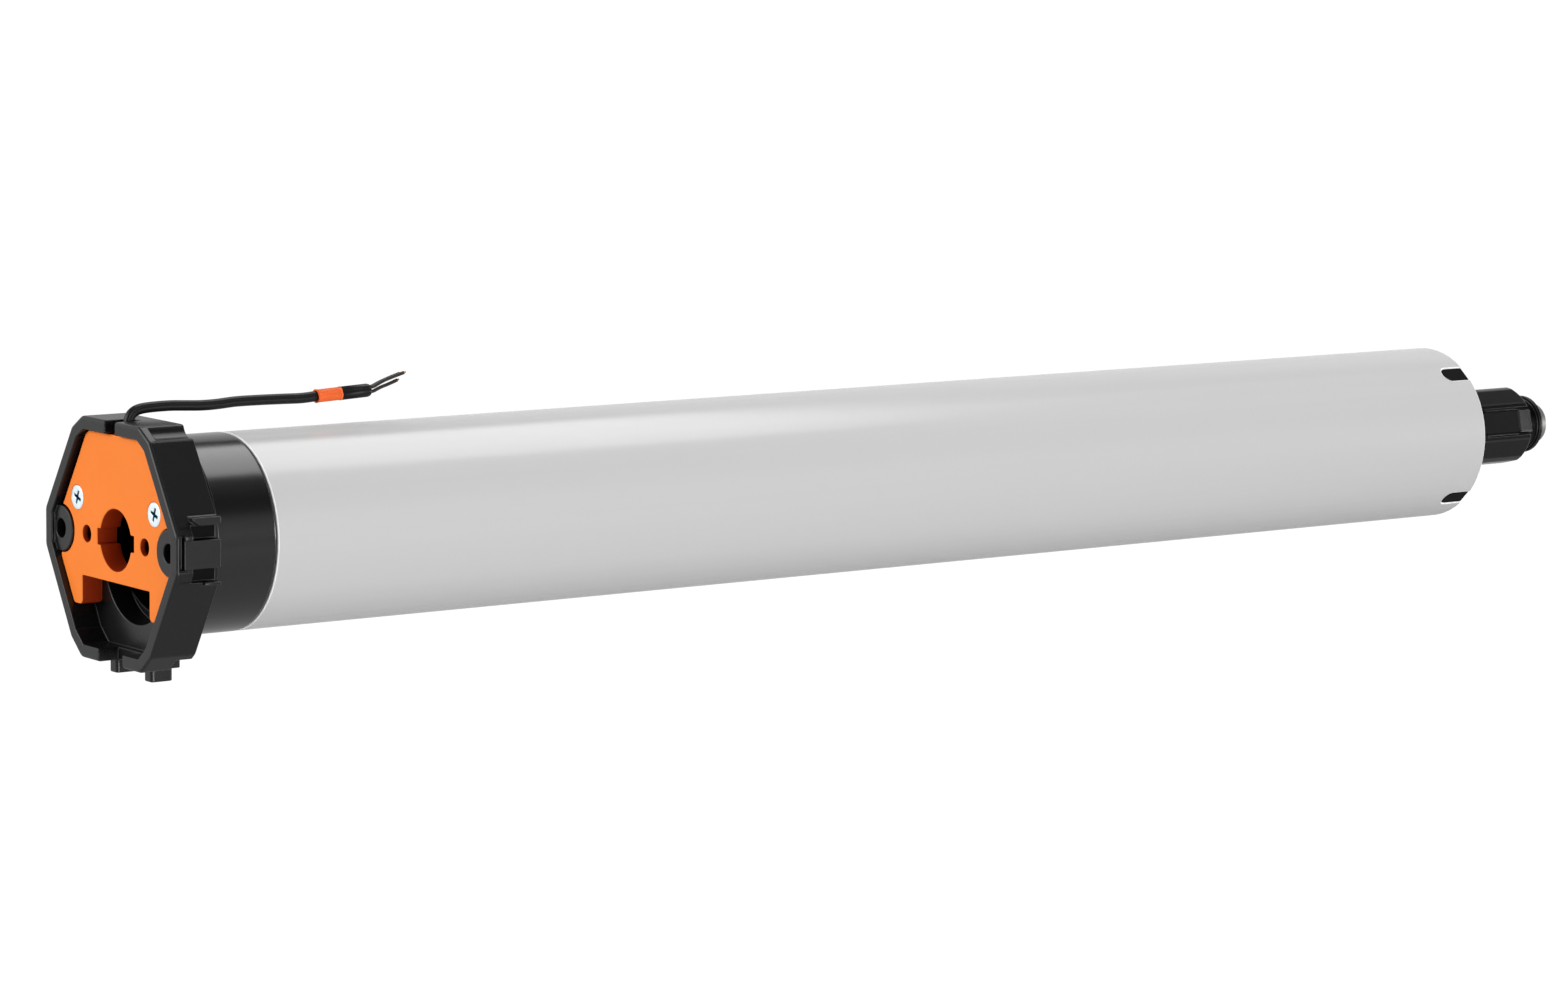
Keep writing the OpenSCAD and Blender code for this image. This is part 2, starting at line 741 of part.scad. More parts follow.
module shrink_sleeve() {
    r = sleeve_d / 2;
    x1 = band_l + sleeve_l;
    color("#18181a") on_tail() turned_x() polygon([
        [0, band_l], [r, band_l], [r, x1 - sleeve_bevel], [r - sleeve_bevel / 4, x1], [0, x1]
    ]);
}

module wire_ends() {
    color("#6b3b2a") on_tail() for (route = wire_routes)
        swept([for (p = route) p + [band_l + sleeve_l, 0, 0]], wire_d, 8);
}

module running_ring() {
    color("#151517") turned_x() polygon([
        [ring_in_r, ring_x0], [tube_r - ring_chamfer, ring_x0], [tube_r, ring_x0 + ring_chamfer],
        [tube_r, ring_x1 - ring_chamfer], [tube_r - ring_chamfer, ring_x1], [ring_in_r, ring_x1]
    ]);
}

module tube_adapter() {
    color("#2a2a2c") sleeve_x(tube_x0, spigot_x1, plug_r, spigot_r + seat_clear);
}

// Round-ended key shape at each of the four slots in the drive end of the tube
module tube_keys(w, l, from_r, to_r, x1) {
    for (a = key_angles) rotate([a, 0, 0]) {
        block([tube_x1 - l + w / 2, -w / 2, from_r], [x1, w / 2, to_r]);
        translate([tube_x1 - l + w / 2, 0, from_r]) cylinder(h = to_r - from_r, r = w / 2);
    }
}

module motor_tube() {
    color("#e6e7e8") difference() {
        sleeve_x(tube_x0, tube_x1, tube_r, bore_r);
        tube_keys(key_slot_w, key_slot_l, bore_r / 2, tube_r + cut_over, tube_x1 + cut_over);
    }
}

// Trough in the lower part of the tube that carries the control board and the capacitor
module board_tray() {
    top = board_z - board_t / 2;
    color("#d8d4c8") difference() {
        rod_x(tray_x0, tray_x1, plug_r);
        block([tray_x0 - cut_over, -tube_d, top], [tray_x1 + cut_over, tube_d, tube_d]);
        block(
            [tray_x0 - cut_over, -tray_channel_w / 2, tray_wall - plug_r],
            [board_x1, tray_channel_w / 2, top + cut_over]
        );
        rod_x(board_x1, tray_x1 + cut_over, capacitor_r + seat_clear);
    }
}

module control_board() {
    color("#1f6b3a") block(
        [board_x0, -board_w / 2, board_z - board_t / 2],
        [board_x1, board_w / 2, board_z + board_t / 2]
    );
}

// Part of the given size standing on the control board, x away from the board's front edge
module on_board(x, size, y = 0) {
    low = [board_x0 + x, y - size[1] / 2, board_z + board_t / 2];
    block(low, low + size);
}

module terminal_block() {
    color("#3a7d3c") on_board(terminal_gap, terminal_size);
}

module relays() {
    color("#2f5fa8") for (y = [-1, 1]) on_board(relay_x, relay_size, y * (relay_size[1] + relay_gap) / 2);
}

module supply_coil() {
    color("#d9b13b") on_board(supply_coil_x, supply_coil_size);
}

module run_capacitor() {
    color("#e9e6dd") turned_x() polygon([
        [0, capacitor_x0], [capacitor_r - capacitor_edge, capacitor_x0],
        [capacitor_r, capacitor_x0 + capacitor_edge], [capacitor_r, capacitor_x1 - capacitor_edge],
        [capacitor_r - capacitor_edge, capacitor_x1], [0, capacitor_x1]
    ]);
}

module encoder_board() {
    color("#1f6b3a") rod_x(encoder_x0, encoder_x1, plug_r);
}

module magnet_wheel() {
    x1 = magnet_wheel_x0 + magnet_wheel_t;
    color("#4a4a4e") sleeve_x(magnet_wheel_x0, x1, magnet_wheel_r, rotor_shaft_r + seat_clear);
}

// End bell of the motor, with its bearing seat towards the stator
module end_bell(x0, seat_x0) {
    color("#a9acb0") difference() {
        rod_x(x0, x0 + end_bell_t, plug_r);
        rod_x(x0 - cut_over, x0 + end_bell_t + cut_over, rotor_shaft_r + shaft_gap);
        rod_x(seat_x0, seat_x0 + bearing_w, bearing_r + seat_clear);
    }
}

// Closed ball bearing with a shallow groove in each face
module bearing(x0) {
    color("#c4c8cc") difference() {
        sleeve_x(x0, x0 + bearing_w, bearing_r, rotor_shaft_r + run_clear);
        for (x = [x0 - cut_over, x0 + bearing_w - race_groove])
            sleeve_x(x, x + cut_over + race_groove, bearing_r - race_w, rotor_shaft_r + race_w);
    }
}

module rear_end_bell() {
    end_bell(rear_bell_x0, rear_bell_x1 - bearing_w);
}

module rear_bearing() {
    bearing(rear_bell_x1 - bearing_w);
}

module front_end_bell() {
    end_bell(front_bell_x0, front_bell_x0);
}

module front_bearing() {
    bearing(front_bell_x0);
}

// Straight pockets of the stator, each d smaller all round
module stator_pockets(x0, x1, d) {
    for (k = [0:stator_slots - 1]) rotate([k * 360 / stator_slots, 0, 0])
        block(
            [x0, -stator_slot_w / 2 + d, stator_slot_r0 + d],
            [x1, stator_slot_w / 2 - d, stator_slot_r1 - d]
        );
}

module stator_core() {
    color("#8d9196") difference() {
        sleeve_x(stator_x0, stator_x1, plug_r, rotor_r + air_gap);
        stator_pockets(stator_x0 - cut_over, stator_x1 + cut_over, 0);
    }
}

module windings() {
    color("#b4622d") {
        stator_pockets(stator_x0 - fuse_over, stator_x1 + fuse_over, seat_clear);
        sleeve_x(stator_x0 - winding_end_l, stator_x0, stator_slot_r1, stator_slot_r0);
        sleeve_x(stator_x1, stator_x1 + winding_end_l, stator_slot_r1, stator_slot_r0);
    }
}

module rotor_core() {
    color("#7c8084") sleeve_x(rotor_x0, rotor_x0 + rotor_l, rotor_r, rotor_shaft_r + seat_clear);
}

module rotor_shaft() {
    color("#b8bcc0") rod_x(magnet_wheel_x0 + fuse_over, stage1_x1, rotor_shaft_r);
}

module brake_magnet() {
    color("#5c6064") {
        difference() {
            sleeve_x(magnet_x0, magnet_x1, plug_r, rotor_shaft_r + shaft_gap);
            sleeve_x(magnet_x1 - coil_l, magnet_x1 + cut_over, coil_r1 + seat_clear, coil_r0 - seat_clear);
            sleeve_x(
                magnet_x1 - spring_l, magnet_x1 + cut_over, spring_r1 + seat_clear, spring_r0 - seat_clear
            );
        }
        guide_pins(magnet_x1 - fuse_over, armature_x1, guide_pin_r);
    }
}

// Three pins that keep the brake armature from turning
module guide_pins(x0, x1, r) {
    for (k = [0:2]) rotate([k * 120, 0, 0]) translate([0, guide_pin_orbit_r, 0]) rod_x(x0, x1, r);
}

module brake_coil() {
    color("#b4622d") sleeve_x(magnet_x1 - coil_l, magnet_x1, coil_r1, coil_r0);
}

module brake_spring() {
    color("#a0a4a8") sleeve_x(magnet_x1 - spring_l, magnet_x1 + side_clear / 3, spring_r1, spring_r0);
}

module brake_armature() {
    color("#8d9196") difference() {
        sleeve_x(armature_x0, armature_x1, armature_r, rotor_shaft_r + shaft_gap);
        guide_pins(armature_x0 - cut_over, armature_x1 + cut_over, guide_pin_r + side_clear);
    }
}

module brake_disc() {
    color("#6a5548") sleeve_x(brake_disc_x0, brake_disc_x1, brake_disc_r, rotor_shaft_r + seat_clear);
}

module gear_cover() {
    color("#a9acb0") sleeve_x(gear_cover_x0, gear_cover_x1, plug_r, rotor_shaft_r + shaft_gap);
}

// Toothed sleeve that all three gear stages run in
module gear_sleeve() {
    color("#e4e1d8") difference() {
        rod_x(gear_cover_x1, cap_x0, plug_r);
        slab_x(gear_cover_x1 - cut_over, cap_x0 + cut_over)
            polygon(teeth(
                sleeve_teeth, sleeve_pitch_r - addendum, sleeve_pitch_r + dedendum, -tooth_thinning
            ));
    }
}

// Gear with n teeth
module gear(n, x0, x1) {
    pitch_r = gear_module * n / 2;
    slab_x(x0, x1) polygon(teeth(n, pitch_r - dedendum, pitch_r + addendum, tooth_thinning));
}

// Planet wheel at the given angle round the motor axis
module planet(angle, x0, x1) {
    color("#f0ede4") rotate([angle, 0, 0]) translate([0, planet_orbit_r, 0]) difference() {
        gear(planet_teeth, x0, x1);
        rod_x(x0 - cut_over, x1 + cut_over, planet_pin_r + run_clear);
    }
}

// Carrier plate with the pins that its planets turn on
module carrier(x0, x1, pins_x0, hub_r) {
    color("#9a9ea2") difference() {
        union() {
            rod_x(x0, x1, carrier_r);
            for (k = [0:planets - 1]) rotate([k * 360 / planets, 0, 0]) translate([0, planet_orbit_r, 0])
                rod_x(pins_x0, x0 + fuse_over, planet_pin_r);
        }
        rod_x(x0 - cut_over, x1 + cut_over, hub_r + seat_clear);
    }
}

// Sun gear with the stub that sits in the carrier behind it
module sun_on_carrier(stub_x0, x0, x1) {
    color("#b8bcc0") {
        gear(sun_teeth, x0, x1);
        rod_x(stub_x0, x0 + fuse_over, sun_stub_r);
    }
}

module sun_gear_1() {
    color("#b8bcc0") difference() {
        gear(sun_teeth, stage1_x0 - gear_gap, stage1_x1);
        rod_x(stage1_x0 - cut_over, stage1_x1 + cut_over, rotor_shaft_r + seat_clear);
    }
}

module carrier_1() {
    carrier(carrier1_x0, carrier1_x1, stage1_x0, sun_stub_r);
}

module sun_gear_2() {
    sun_on_carrier(carrier1_x0, carrier1_x1, stage2_x1);
}

module carrier_2() {
    carrier(carrier2_x0, carrier2_x1, stage2_x0, sun_stub_r);
}

module sun_gear_3() {
    sun_on_carrier(carrier2_x0, carrier2_x1, stage3_x1);
}

module output_carrier() {
    carrier(output_carrier_x0, output_carrier_x1, stage3_x0, output_shaft_r);
}

// Planets of the three stages, a third of a turn apart
module planet_1a() { planet(0, stage1_x0, stage1_x1); }
module planet_1b() { planet(120, stage1_x0, stage1_x1); }
module planet_1c() { planet(240, stage1_x0, stage1_x1); }
module planet_2a() { planet(0, stage2_x0, stage2_x1); }
module planet_2b() { planet(120, stage2_x0, stage2_x1); }
module planet_2c() { planet(240, stage2_x0, stage2_x1); }
module planet_3a() { planet(0, stage3_x0, stage3_x1); }
module planet_3b() { planet(120, stage3_x0, stage3_x1); }
module planet_3c() { planet(240, stage3_x0, stage3_x1); }

module drive_end_cap() {
    color("#1d1d1f") difference() {
        union() {
            rod_x(cap_x0, cap_x1, plug_r);
            tube_keys(
                key_slot_w - 2 * key_clear, key_slot_l - key_clear, plug_r / 2, tube_r - key_sink, cap_x1
            );
        }
        rod_x(cap_x0 - cut_over, cap_x1 + cut_over, bush_r + seat_clear);
        sleeve_x(cap_x1 - cap_dish, cap_x1 + cut_over, plug_r - cap_rim, bush_r + cap_rim + bush_flange);
    }
}

module output_bush() {
    color("#c9a24a") difference() {
        union() {
            rod_x(cap_x0, cap_x1 + fuse_over, bush_r);
            rod_x(cap_x1, hub_x0 - side_clear, bush_r + bush_flange);
        }
        rod_x(cap_x0 - cut_over, hub_x0 + cut_over, output_shaft_r + run_clear);
    }
}

module output_shaft() {
    color("#b8bcc0") difference() {
        rod_x(output_carrier_x0, flange_x1, output_shaft_r);
        rod_x(end_x - end_screw_l - side_clear, flange_x1 + cut_over, end_screw_shank_r + seat_clear);
    }
}

// Outer form of the drive hub: shoulder, snap groove and flange turned about the axis
module hub_turning() {
    turned_x() polygon([
        [0, hub_x0], [hub_corner_r, hub_x0], [hub_corner_r, hub_x1], [shoulder_r, shoulder_x1],
        [groove_r, shoulder_x1], [groove_r, groove_x1], [flange_r, groove_x1],
        [flange_r, flange_x1 - flange_chamfer], [flange_r - flange_chamfer, flange_x1], [0, flange_x1]
    ]);
}

// Slits that free the snap tongue, and the space for its nose, on the +Y face of the hub
module tongue_slits() {
    half = (tongue_w + tongue_slit) / 2;
    for (s = [-1, 1]) translate([0, 0, s * tongue_w / 2])
        block(
            [hub_x1 - tongue_l, hub_af / 2 - tongue_slit_depth, -tongue_slit / 2],
            [hub_x1, hub_af, tongue_slit / 2]
        );
    block([tongue_slope_x, groove_r, -half], [shoulder_x1 + cut_over, hub_af, half]);
}

// Sloping nose of the snap tongue, on the +Y face of the hub
module tongue_nose() {
    half = (tongue_w - tongue_slit) / 2;
    translate([0, 0, -half]) linear_extrude(2 * half) polygon([
        [tongue_slope_x - fuse_over, groove_r - fuse_over], [tongue_slope_x - fuse_over, hub_af / 2],
        [tongue_slope_x, hub_af / 2],
        [tongue_end_x, shoulder_r], [tongue_end_x, groove_r - fuse_over]
    ]);
}

module drive_hub() {
    octagon_r = hub_af / 2 / cos(180 / 8);
    color("#19191b") difference() {
        union() {
            difference() {
                intersection() {
                    hub_turning();
                    slab_x(hub_x0 - cut_over, end_x)
                        rotate(180 / 8 - hub_turn) circle(r = octagon_r, $fn = 8);
                }
                rotate([180 - hub_turn, 0, 0]) tongue_slits();
            }
            rotate([180 - hub_turn, 0, 0]) tongue_nose();
        }
        rod_x(hub_x0 - cut_over, end_x, output_shaft_r + seat_clear);
    }
}

module end_washer() {
    color("#c9cbc9") difference() {
        turned_x() polygon([
            [0, flange_x1], [end_washer_r, flange_x1], [end_washer_r, end_x - flange_chamfer],
            [end_washer_r - flange_chamfer, end_x], [0, end_x]
        ]);
        translate([end_x, 0, 0]) rotate([0, 180, 0]) {
            countersunk(end_screw_head_r + seat_clear, end_screw_shank_r + seat_clear, end_screw_l);
            rod_x(-cut_over, head_edge, end_screw_head_r + seat_clear);
        }
    }
}

module end_screw() {
    color("#b8bcc0") translate([end_x, 0, 0]) rotate([0, 180, 0]) difference() {
        countersunk(end_screw_head_r, end_screw_shank_r, end_screw_l);
        cross_recess(end_screw_head_r);
    }
}

head_housing();
face_plate();
plate_screws();
lead_clamp();
inner_lead();
lead();
marker_band();
shrink_sleeve();
wire_ends();
running_ring();
tube_adapter();
motor_tube();
board_tray();
control_board();
terminal_block();
relays();
supply_coil();
run_capacitor();
encoder_board();
magnet_wheel();
rear_end_bell();
rear_bearing();
stator_core();
windings();
rotor_core();
rotor_shaft();
front_end_bell();
front_bearing();
brake_magnet();
brake_coil();
brake_spring();
brake_armature();
brake_disc();
gear_cover();
gear_sleeve();
sun_gear_1();
planet_1a();
planet_1b();
planet_1c();
carrier_1();
sun_gear_2();
planet_2a();
planet_2b();
planet_2c();
carrier_2();
sun_gear_3();
planet_3a();
planet_3b();
planet_3c();
output_carrier();
drive_end_cap();
output_bush();
output_shaft();
drive_hub();
end_washer();
end_screw();
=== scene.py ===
# %% [markdown]
# # A tubular roller blind motor
# This lesson dresses a finished engineering model of a roller blind motor: a black head with
# an orange bracket plate, an idle ring, a long pale tube and a black drive hub. The model
# comes with exact solids, so the work here is edges, surfaces, light and the soft lead.
# Everything is in metres, in the same frame as the solids: X runs along the motor from the
# plate to the hub, Z is up, and the origin is the middle of the plate's socket.

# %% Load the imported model
import json
import math

import bmesh
import bpy
from mathutils import Matrix, Vector

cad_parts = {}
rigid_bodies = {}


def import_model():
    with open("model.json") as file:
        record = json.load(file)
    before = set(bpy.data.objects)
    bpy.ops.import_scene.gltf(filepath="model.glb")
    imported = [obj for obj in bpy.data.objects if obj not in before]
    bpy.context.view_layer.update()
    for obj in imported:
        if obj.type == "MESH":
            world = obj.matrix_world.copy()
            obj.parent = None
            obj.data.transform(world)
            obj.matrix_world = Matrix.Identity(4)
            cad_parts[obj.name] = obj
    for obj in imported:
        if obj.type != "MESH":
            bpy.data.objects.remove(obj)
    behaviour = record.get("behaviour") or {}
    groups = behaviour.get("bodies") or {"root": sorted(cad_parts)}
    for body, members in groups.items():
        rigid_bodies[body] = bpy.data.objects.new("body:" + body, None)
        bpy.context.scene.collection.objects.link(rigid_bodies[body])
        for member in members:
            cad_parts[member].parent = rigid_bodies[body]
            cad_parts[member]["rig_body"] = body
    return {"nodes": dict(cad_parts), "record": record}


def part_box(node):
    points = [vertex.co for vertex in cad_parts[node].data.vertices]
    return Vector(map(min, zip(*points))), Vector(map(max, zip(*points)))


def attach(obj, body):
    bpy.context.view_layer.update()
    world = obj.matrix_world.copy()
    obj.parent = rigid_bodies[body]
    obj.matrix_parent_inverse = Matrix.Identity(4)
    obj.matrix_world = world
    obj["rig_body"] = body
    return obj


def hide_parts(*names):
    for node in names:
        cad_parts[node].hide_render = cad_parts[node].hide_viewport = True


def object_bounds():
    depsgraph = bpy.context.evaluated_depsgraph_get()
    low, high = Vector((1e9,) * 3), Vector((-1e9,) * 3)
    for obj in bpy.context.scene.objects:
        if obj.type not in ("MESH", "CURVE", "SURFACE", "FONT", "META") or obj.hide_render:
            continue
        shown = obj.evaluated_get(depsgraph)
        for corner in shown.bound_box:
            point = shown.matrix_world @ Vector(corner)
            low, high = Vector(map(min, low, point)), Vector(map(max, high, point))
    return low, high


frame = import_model()
for name in ("Cube", "Light", "Camera"):
    if name in bpy.data.objects:
        bpy.data.objects.remove(bpy.data.objects[name])
cad_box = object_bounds()
nodes = frame["nodes"]
scene = bpy.context.scene
MM = 0.001
print("nodes:", len(nodes), "box:", [round(v, 4) for v in (*cad_box[0], *cad_box[1])])

# %% [markdown]
# ## The camera
# The photograph looks along the motor from its head, a little from above. A camera can be
# matched by eye, or worked out from known shapes: here the two rims of the tube, whose
# diameter is known, fix the distance, the angles and the lens. The lens comes from the focal
# length in pixels for a picture 1563 pixels wide.

# %% Camera
PHOTO_WIDTH = 1563
SENSOR_WIDTH = 36
FOCAL_PIXELS = 5096.9
LOOK_AT = Vector((184.70, 0, -4.38)) * MM
CAMERA_DISTANCE = 1240.7 * MM
CAMERA_AZIMUTH = math.radians(-36.947)
CAMERA_ELEVATION = math.radians(7.603)
CAMERA_ROLL = math.radians(0.790)

camera_data = bpy.data.cameras.new("photo_camera")
camera_data.sensor_width = SENSOR_WIDTH
camera_data.lens = FOCAL_PIXELS / PHOTO_WIDTH * SENSOR_WIDTH
camera = bpy.data.objects.new("photo_camera", camera_data)
scene.collection.objects.link(camera)
back = Vector((
    math.sin(CAMERA_AZIMUTH) * math.cos(CAMERA_ELEVATION),
    -math.cos(CAMERA_AZIMUTH) * math.cos(CAMERA_ELEVATION),
    math.sin(CAMERA_ELEVATION),
))
level_right = Vector((math.cos(CAMERA_AZIMUTH), math.sin(CAMERA_AZIMUTH), 0))
level_up = back.cross(level_right)
right = math.cos(CAMERA_ROLL) * level_right + math.sin(CAMERA_ROLL) * level_up
up = back.cross(right)
turn = Matrix((right, up, back)).transposed().to_4x4()
camera.matrix_world = Matrix.Translation(LOOK_AT + back * CAMERA_DISTANCE) @ turn
scene.camera = camera
print("lens:", round(camera_data.lens, 1), "mm, camera at", [round(v, 3) for v in camera.location])

# %% [markdown]
# ## The lead
# The lead comes straight up out of the head behind the plate, bends over its top edge and runs
# out above the tube. It is short enough to be seen from end to end, and stiff enough to stay
# where it was bent. A curve object could do it, but a curve has one round profile. This lead
# has two cores under one sheath, with a shallow groove along each side, so its skin is lofted
# through rings of points that follow the route.

# %% Keep a piece
PIECES = {}


def keep_piece(name, mesh, body, slot):
    """Turns a bmesh into a smooth piece that rides on a body and takes a slot's finish."""
    data = bpy.data.meshes.new(name)
    mesh.to_mesh(data)
    mesh.free()
    data.shade_smooth()
    piece = bpy.data.objects.new(name, data)
    scene.collection.objects.link(piece)
    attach(piece, body)
    PIECES[name] = slot
    return piece


# %% Loft helpers
def smooth_route(points, steps):
    """Points on one smooth curve through points that were given."""
    ends = [2 * points[0] - points[1], *points, 2 * points[-1] - points[-2]]
    route = []
    for a, b, c, d in zip(ends, ends[1:], ends[2:], ends[3:]):
        for step in range(steps):
            t = step / steps
            bend = (2 * a - 5 * b + 4 * c - d) * t ** 2 + (3 * b - a - 3 * c + d) * t ** 3
            route.append((2 * b + (c - a) * t + bend) / 2)
    return route + [points[-1]]


def ring_across(point, along, outline):
    """An outline of (across, up) pairs, set square to the direction along."""
    lift = along.cross(Vector((0, 1, 0))).normalized()
    across = lift.cross(along).normalized()
    return [point + across * a + lift * b for a, b in outline]


def loft(rings, hollow=False):
    """Joins rings of points into one skin, closed by end caps or back onto the first ring."""
    mesh = bmesh.new()
    loops = [[mesh.verts.new(point) for point in ring] for ring in rings]
    pairs = list(zip(loops, loops[1:])) + ([(loops[-1], loops[0])] if hollow else [])
    for near, far in pairs:
        for k in range(len(near)):
            mesh.faces.new((near[k - 1], near[k], far[k], far[k - 1]))
    if not hollow:
        mesh.faces.new(loops[0])
        mesh.faces.new(loops[-1])
    bmesh.ops.recalc_face_normals(mesh, faces=mesh.faces)
    return mesh


def route_length(route):
    return sum((b - a).length for a, b in zip(route, route[1:]))


# %% Route and profile of the lead
# x and z of the route in millimetres, on the middle plane of the motor
LEAD_ROUTE = [
    (3.4, 20), (3.4, 23), (3.4, 25.4), (3.75, 27.2), (4.8, 28.4), (6.5, 29), (9.5, 29.25),
    (14, 29.3), (18, 29.1), (22, 28.9), (26, 28.95), (31, 29.25), (37, 29.25), (43, 29.15),
    (48, 29.05), (52, 29.27),
]
LEAD_DIAMETER = 2.4 * MM
GROOVE_DEPTH = 0.11
GROOVE_TILT = math.radians(158)
GROOVE_SHARPNESS = 26
PROFILE_POINTS = 48
LEAD_STEPS = 6


def twin_core(diameter):
    """A round outline with a groove on two opposite sides, between its two cores."""
    outline = []
    for k in range(PROFILE_POINTS):
        angle = 2 * math.pi * k / PROFILE_POINTS
        dent = GROOVE_DEPTH * abs(math.cos(angle - GROOVE_TILT)) ** GROOVE_SHARPNESS
        radius = diameter / 2 * (1 - dent)
        outline.append((radius * math.cos(angle), radius * math.sin(angle)))
    return outline


def along_route(route, k):
    return (route[min(k + 1, len(route) - 1)] - route[max(k - 1, 0)]).normalized()


lead_points = smooth_route([Vector((x, 0, z)) * MM for x, z in LEAD_ROUTE], LEAD_STEPS)
lead_rings = [
    ring_across(point, along_route(lead_points, k), twin_core(LEAD_DIAMETER))
    for k, point in enumerate(lead_points)
]
lead = keep_piece("lead_sheath", loft(lead_rings), "housing", "lead_sheath")
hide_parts("lead")
print("lead:", round(route_length(lead_points) * 1000, 1), "mm")

# %% [markdown]
# ## The tail of the lead
# An orange band is wrapped round the lead, then a shrunk sleeve holds the three wires where
# the sheath ends. All of them lie along one straight line, the tail, which rises a little.
# The band is a hollow wrap with slightly flared edges, and the sleeve narrows at its end where
# it has shrunk onto the wires.

# %% Line of the tail
TAIL_START = Vector((52, 0, 29.27)) * MM
TAIL_SLOPE = math.radians(2.5)
TAIL = Vector((math.cos(TAIL_SLOPE), 0, math.sin(TAIL_SLOPE)))


def tail_ring(distance, diameter):
    """The lead's outline, square to the tail at a distance from its start."""
    return ring_across(TAIL_START + TAIL * distance, TAIL, twin_core(diameter))


# %% Orange band
BAND_LENGTH = 6.4 * MM
BAND_DIAMETER = 3 * MM
BAND_FLARE = 0.12 * MM
BAND_EDGE = 0.5 * MM
flared = BAND_DIAMETER + 2 * BAND_FLARE
band_stations = [
    (0, flared), (BAND_EDGE, BAND_DIAMETER), (BAND_LENGTH / 2, BAND_DIAMETER),
    (BAND_LENGTH - BAND_EDGE, BAND_DIAMETER), (BAND_LENGTH, flared),
    (BAND_LENGTH, LEAD_DIAMETER), (0, LEAD_DIAMETER),
]
band_rings = [tail_ring(distance, diameter) for distance, diameter in band_stations]
band = keep_piece("orange_band", loft(band_rings, hollow=True), "housing", "marker_orange")
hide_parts("marker_band")
print("band:", round(BAND_LENGTH * 1000, 1), "mm")

# %% Shrunk sleeve
SLEEVE_LENGTH = 8 * MM
SLEEVE_DIAMETER = 3.1 * MM
SLEEVE_SHRINK = 1 * MM
SLEEVE_END = 0.62
SLEEVE_STEPS = 4
sleeve_stations = [(0, 1), (SLEEVE_LENGTH - SLEEVE_SHRINK, 1)]
for k in range(1, SLEEVE_STEPS + 1):
    bend = math.pi / 2 * k / SLEEVE_STEPS
    distance = SLEEVE_LENGTH - SLEEVE_SHRINK * (1 - math.sin(bend))
    sleeve_stations.append((distance, SLEEVE_END + (1 - SLEEVE_END) * math.cos(bend)))
sleeve_rings = [
    tail_ring(BAND_LENGTH + distance, SLEEVE_DIAMETER * share) for distance, share in sleeve_stations
]
sleeve = keep_piece("shrunk_sleeve", loft(sleeve_rings), "housing", "lead_sheath")
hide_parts("shrink_sleeve")
print("sleeve:", round(SLEEVE_LENGTH * 1000, 1), "mm")

# %% [markdown]
# ## The wires
# Three wires come out of the sleeve and spread a little, each with a short bare tip of copper
# strands. They could be copies of one wire, but loose wires never lie the same way, so each
# has a route of its own. The band, the sleeve and the wires ride on the housing, as the lead
# does, so that they stay with the lead.

# %% Wires
WIRE_DIAMETER = 0.8 * MM
STRAND_DIAMETER = 0.45 * MM
STRAND_LENGTH = 0.5 * MM
WIRE_SIDES = 20
WIRE_STEPS = 5
# Along the tail from the sleeve's end, to the side and up, in millimetres
WIRE_ROUTES = {
    "black_wire": [(0, -0.4, 0.7), (1, -0.4, 0.8), (3.5, -0.3, 1.75), (6.5, -0.2, 2.5), (9.3, -0.1, 3.1)],
    "brown_wire": [(0, 0.6, 0.6), (1, 0.65, 0.7), (3.5, 0.85, 1.5), (6.5, 0.95, 2.3), (8.8, 1, 2.85)],
    "grey_wire": [(0, 0, -0.4), (1, 0, -0.35), (3, 0.1, 0.3), (5, 0.1, 0.8), (7.6, 0.2, 1.5)],
}
wire_start = TAIL_START + TAIL * (BAND_LENGTH + SLEEVE_LENGTH)
tail_up = TAIL.cross(Vector((0, 1, 0)))


def round_outline(diameter):
    angles = [2 * math.pi * k / WIRE_SIDES for k in range(WIRE_SIDES)]
    return [(diameter / 2 * math.cos(a), diameter / 2 * math.sin(a)) for a in angles]


def wire_rings(route, diameter):
    outline = round_outline(diameter)
    return [ring_across(point, along_route(route, k), outline) for k, point in enumerate(route)]


wires = []
for name, points in WIRE_ROUTES.items():
    placed = [wire_start + (TAIL * x + Vector((0, y, 0)) + tail_up * z) * MM for x, y, z in points]
    route = smooth_route(placed, WIRE_STEPS)
    wire = keep_piece(name, loft(wire_rings(route, WIRE_DIAMETER)), "housing", "wire_insulation")
    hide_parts("wire_ends")
    tip_direction = along_route(route, len(route) - 1)
    tip_route = [route[-1] - tip_direction * STRAND_LENGTH, route[-1] + tip_direction * STRAND_LENGTH]
    strands = keep_piece(name + "_strands", loft(wire_rings(tip_route, STRAND_DIAMETER)), "housing",
                         "coil_copper")
    wires += [wire, strands]

print("wires:", len(wires) // 2)

# %% [markdown]
# ## The studio
# The photograph is a catalogue picture: white all round, one broad soft light above and pale
# walls that fill the shadows. A painted backdrop could do it, but then the object's own light
# would have to be very strong. Instead the floor and the world are white only to the camera
# and in reflections, and they light the object at a plain level. The walls are pale near the
# floor and darker higher up, which puts the dark band under the highlight of the glossy ring.
# Behind the motor they are paler, like a hung backdrop, and the top of the tube mirrors that.

# %% Node helpers
def add_node(tree, kind, **settings):
    node = tree.nodes.new(kind)
    for key, value in settings.items():
        setattr(node, key, value)
    return node


def link(tree, source, target):
    tree.links.new(source, target)


def split(tree, coordinate):
    """X, Y and Z of a place, a direction or a normal."""
    place = add_node(tree, "ShaderNodeTexCoord")
    parts = add_node(tree, "ShaderNodeSeparateXYZ")
    link(tree, place.outputs[coordinate], parts.inputs[0])
    return parts.outputs


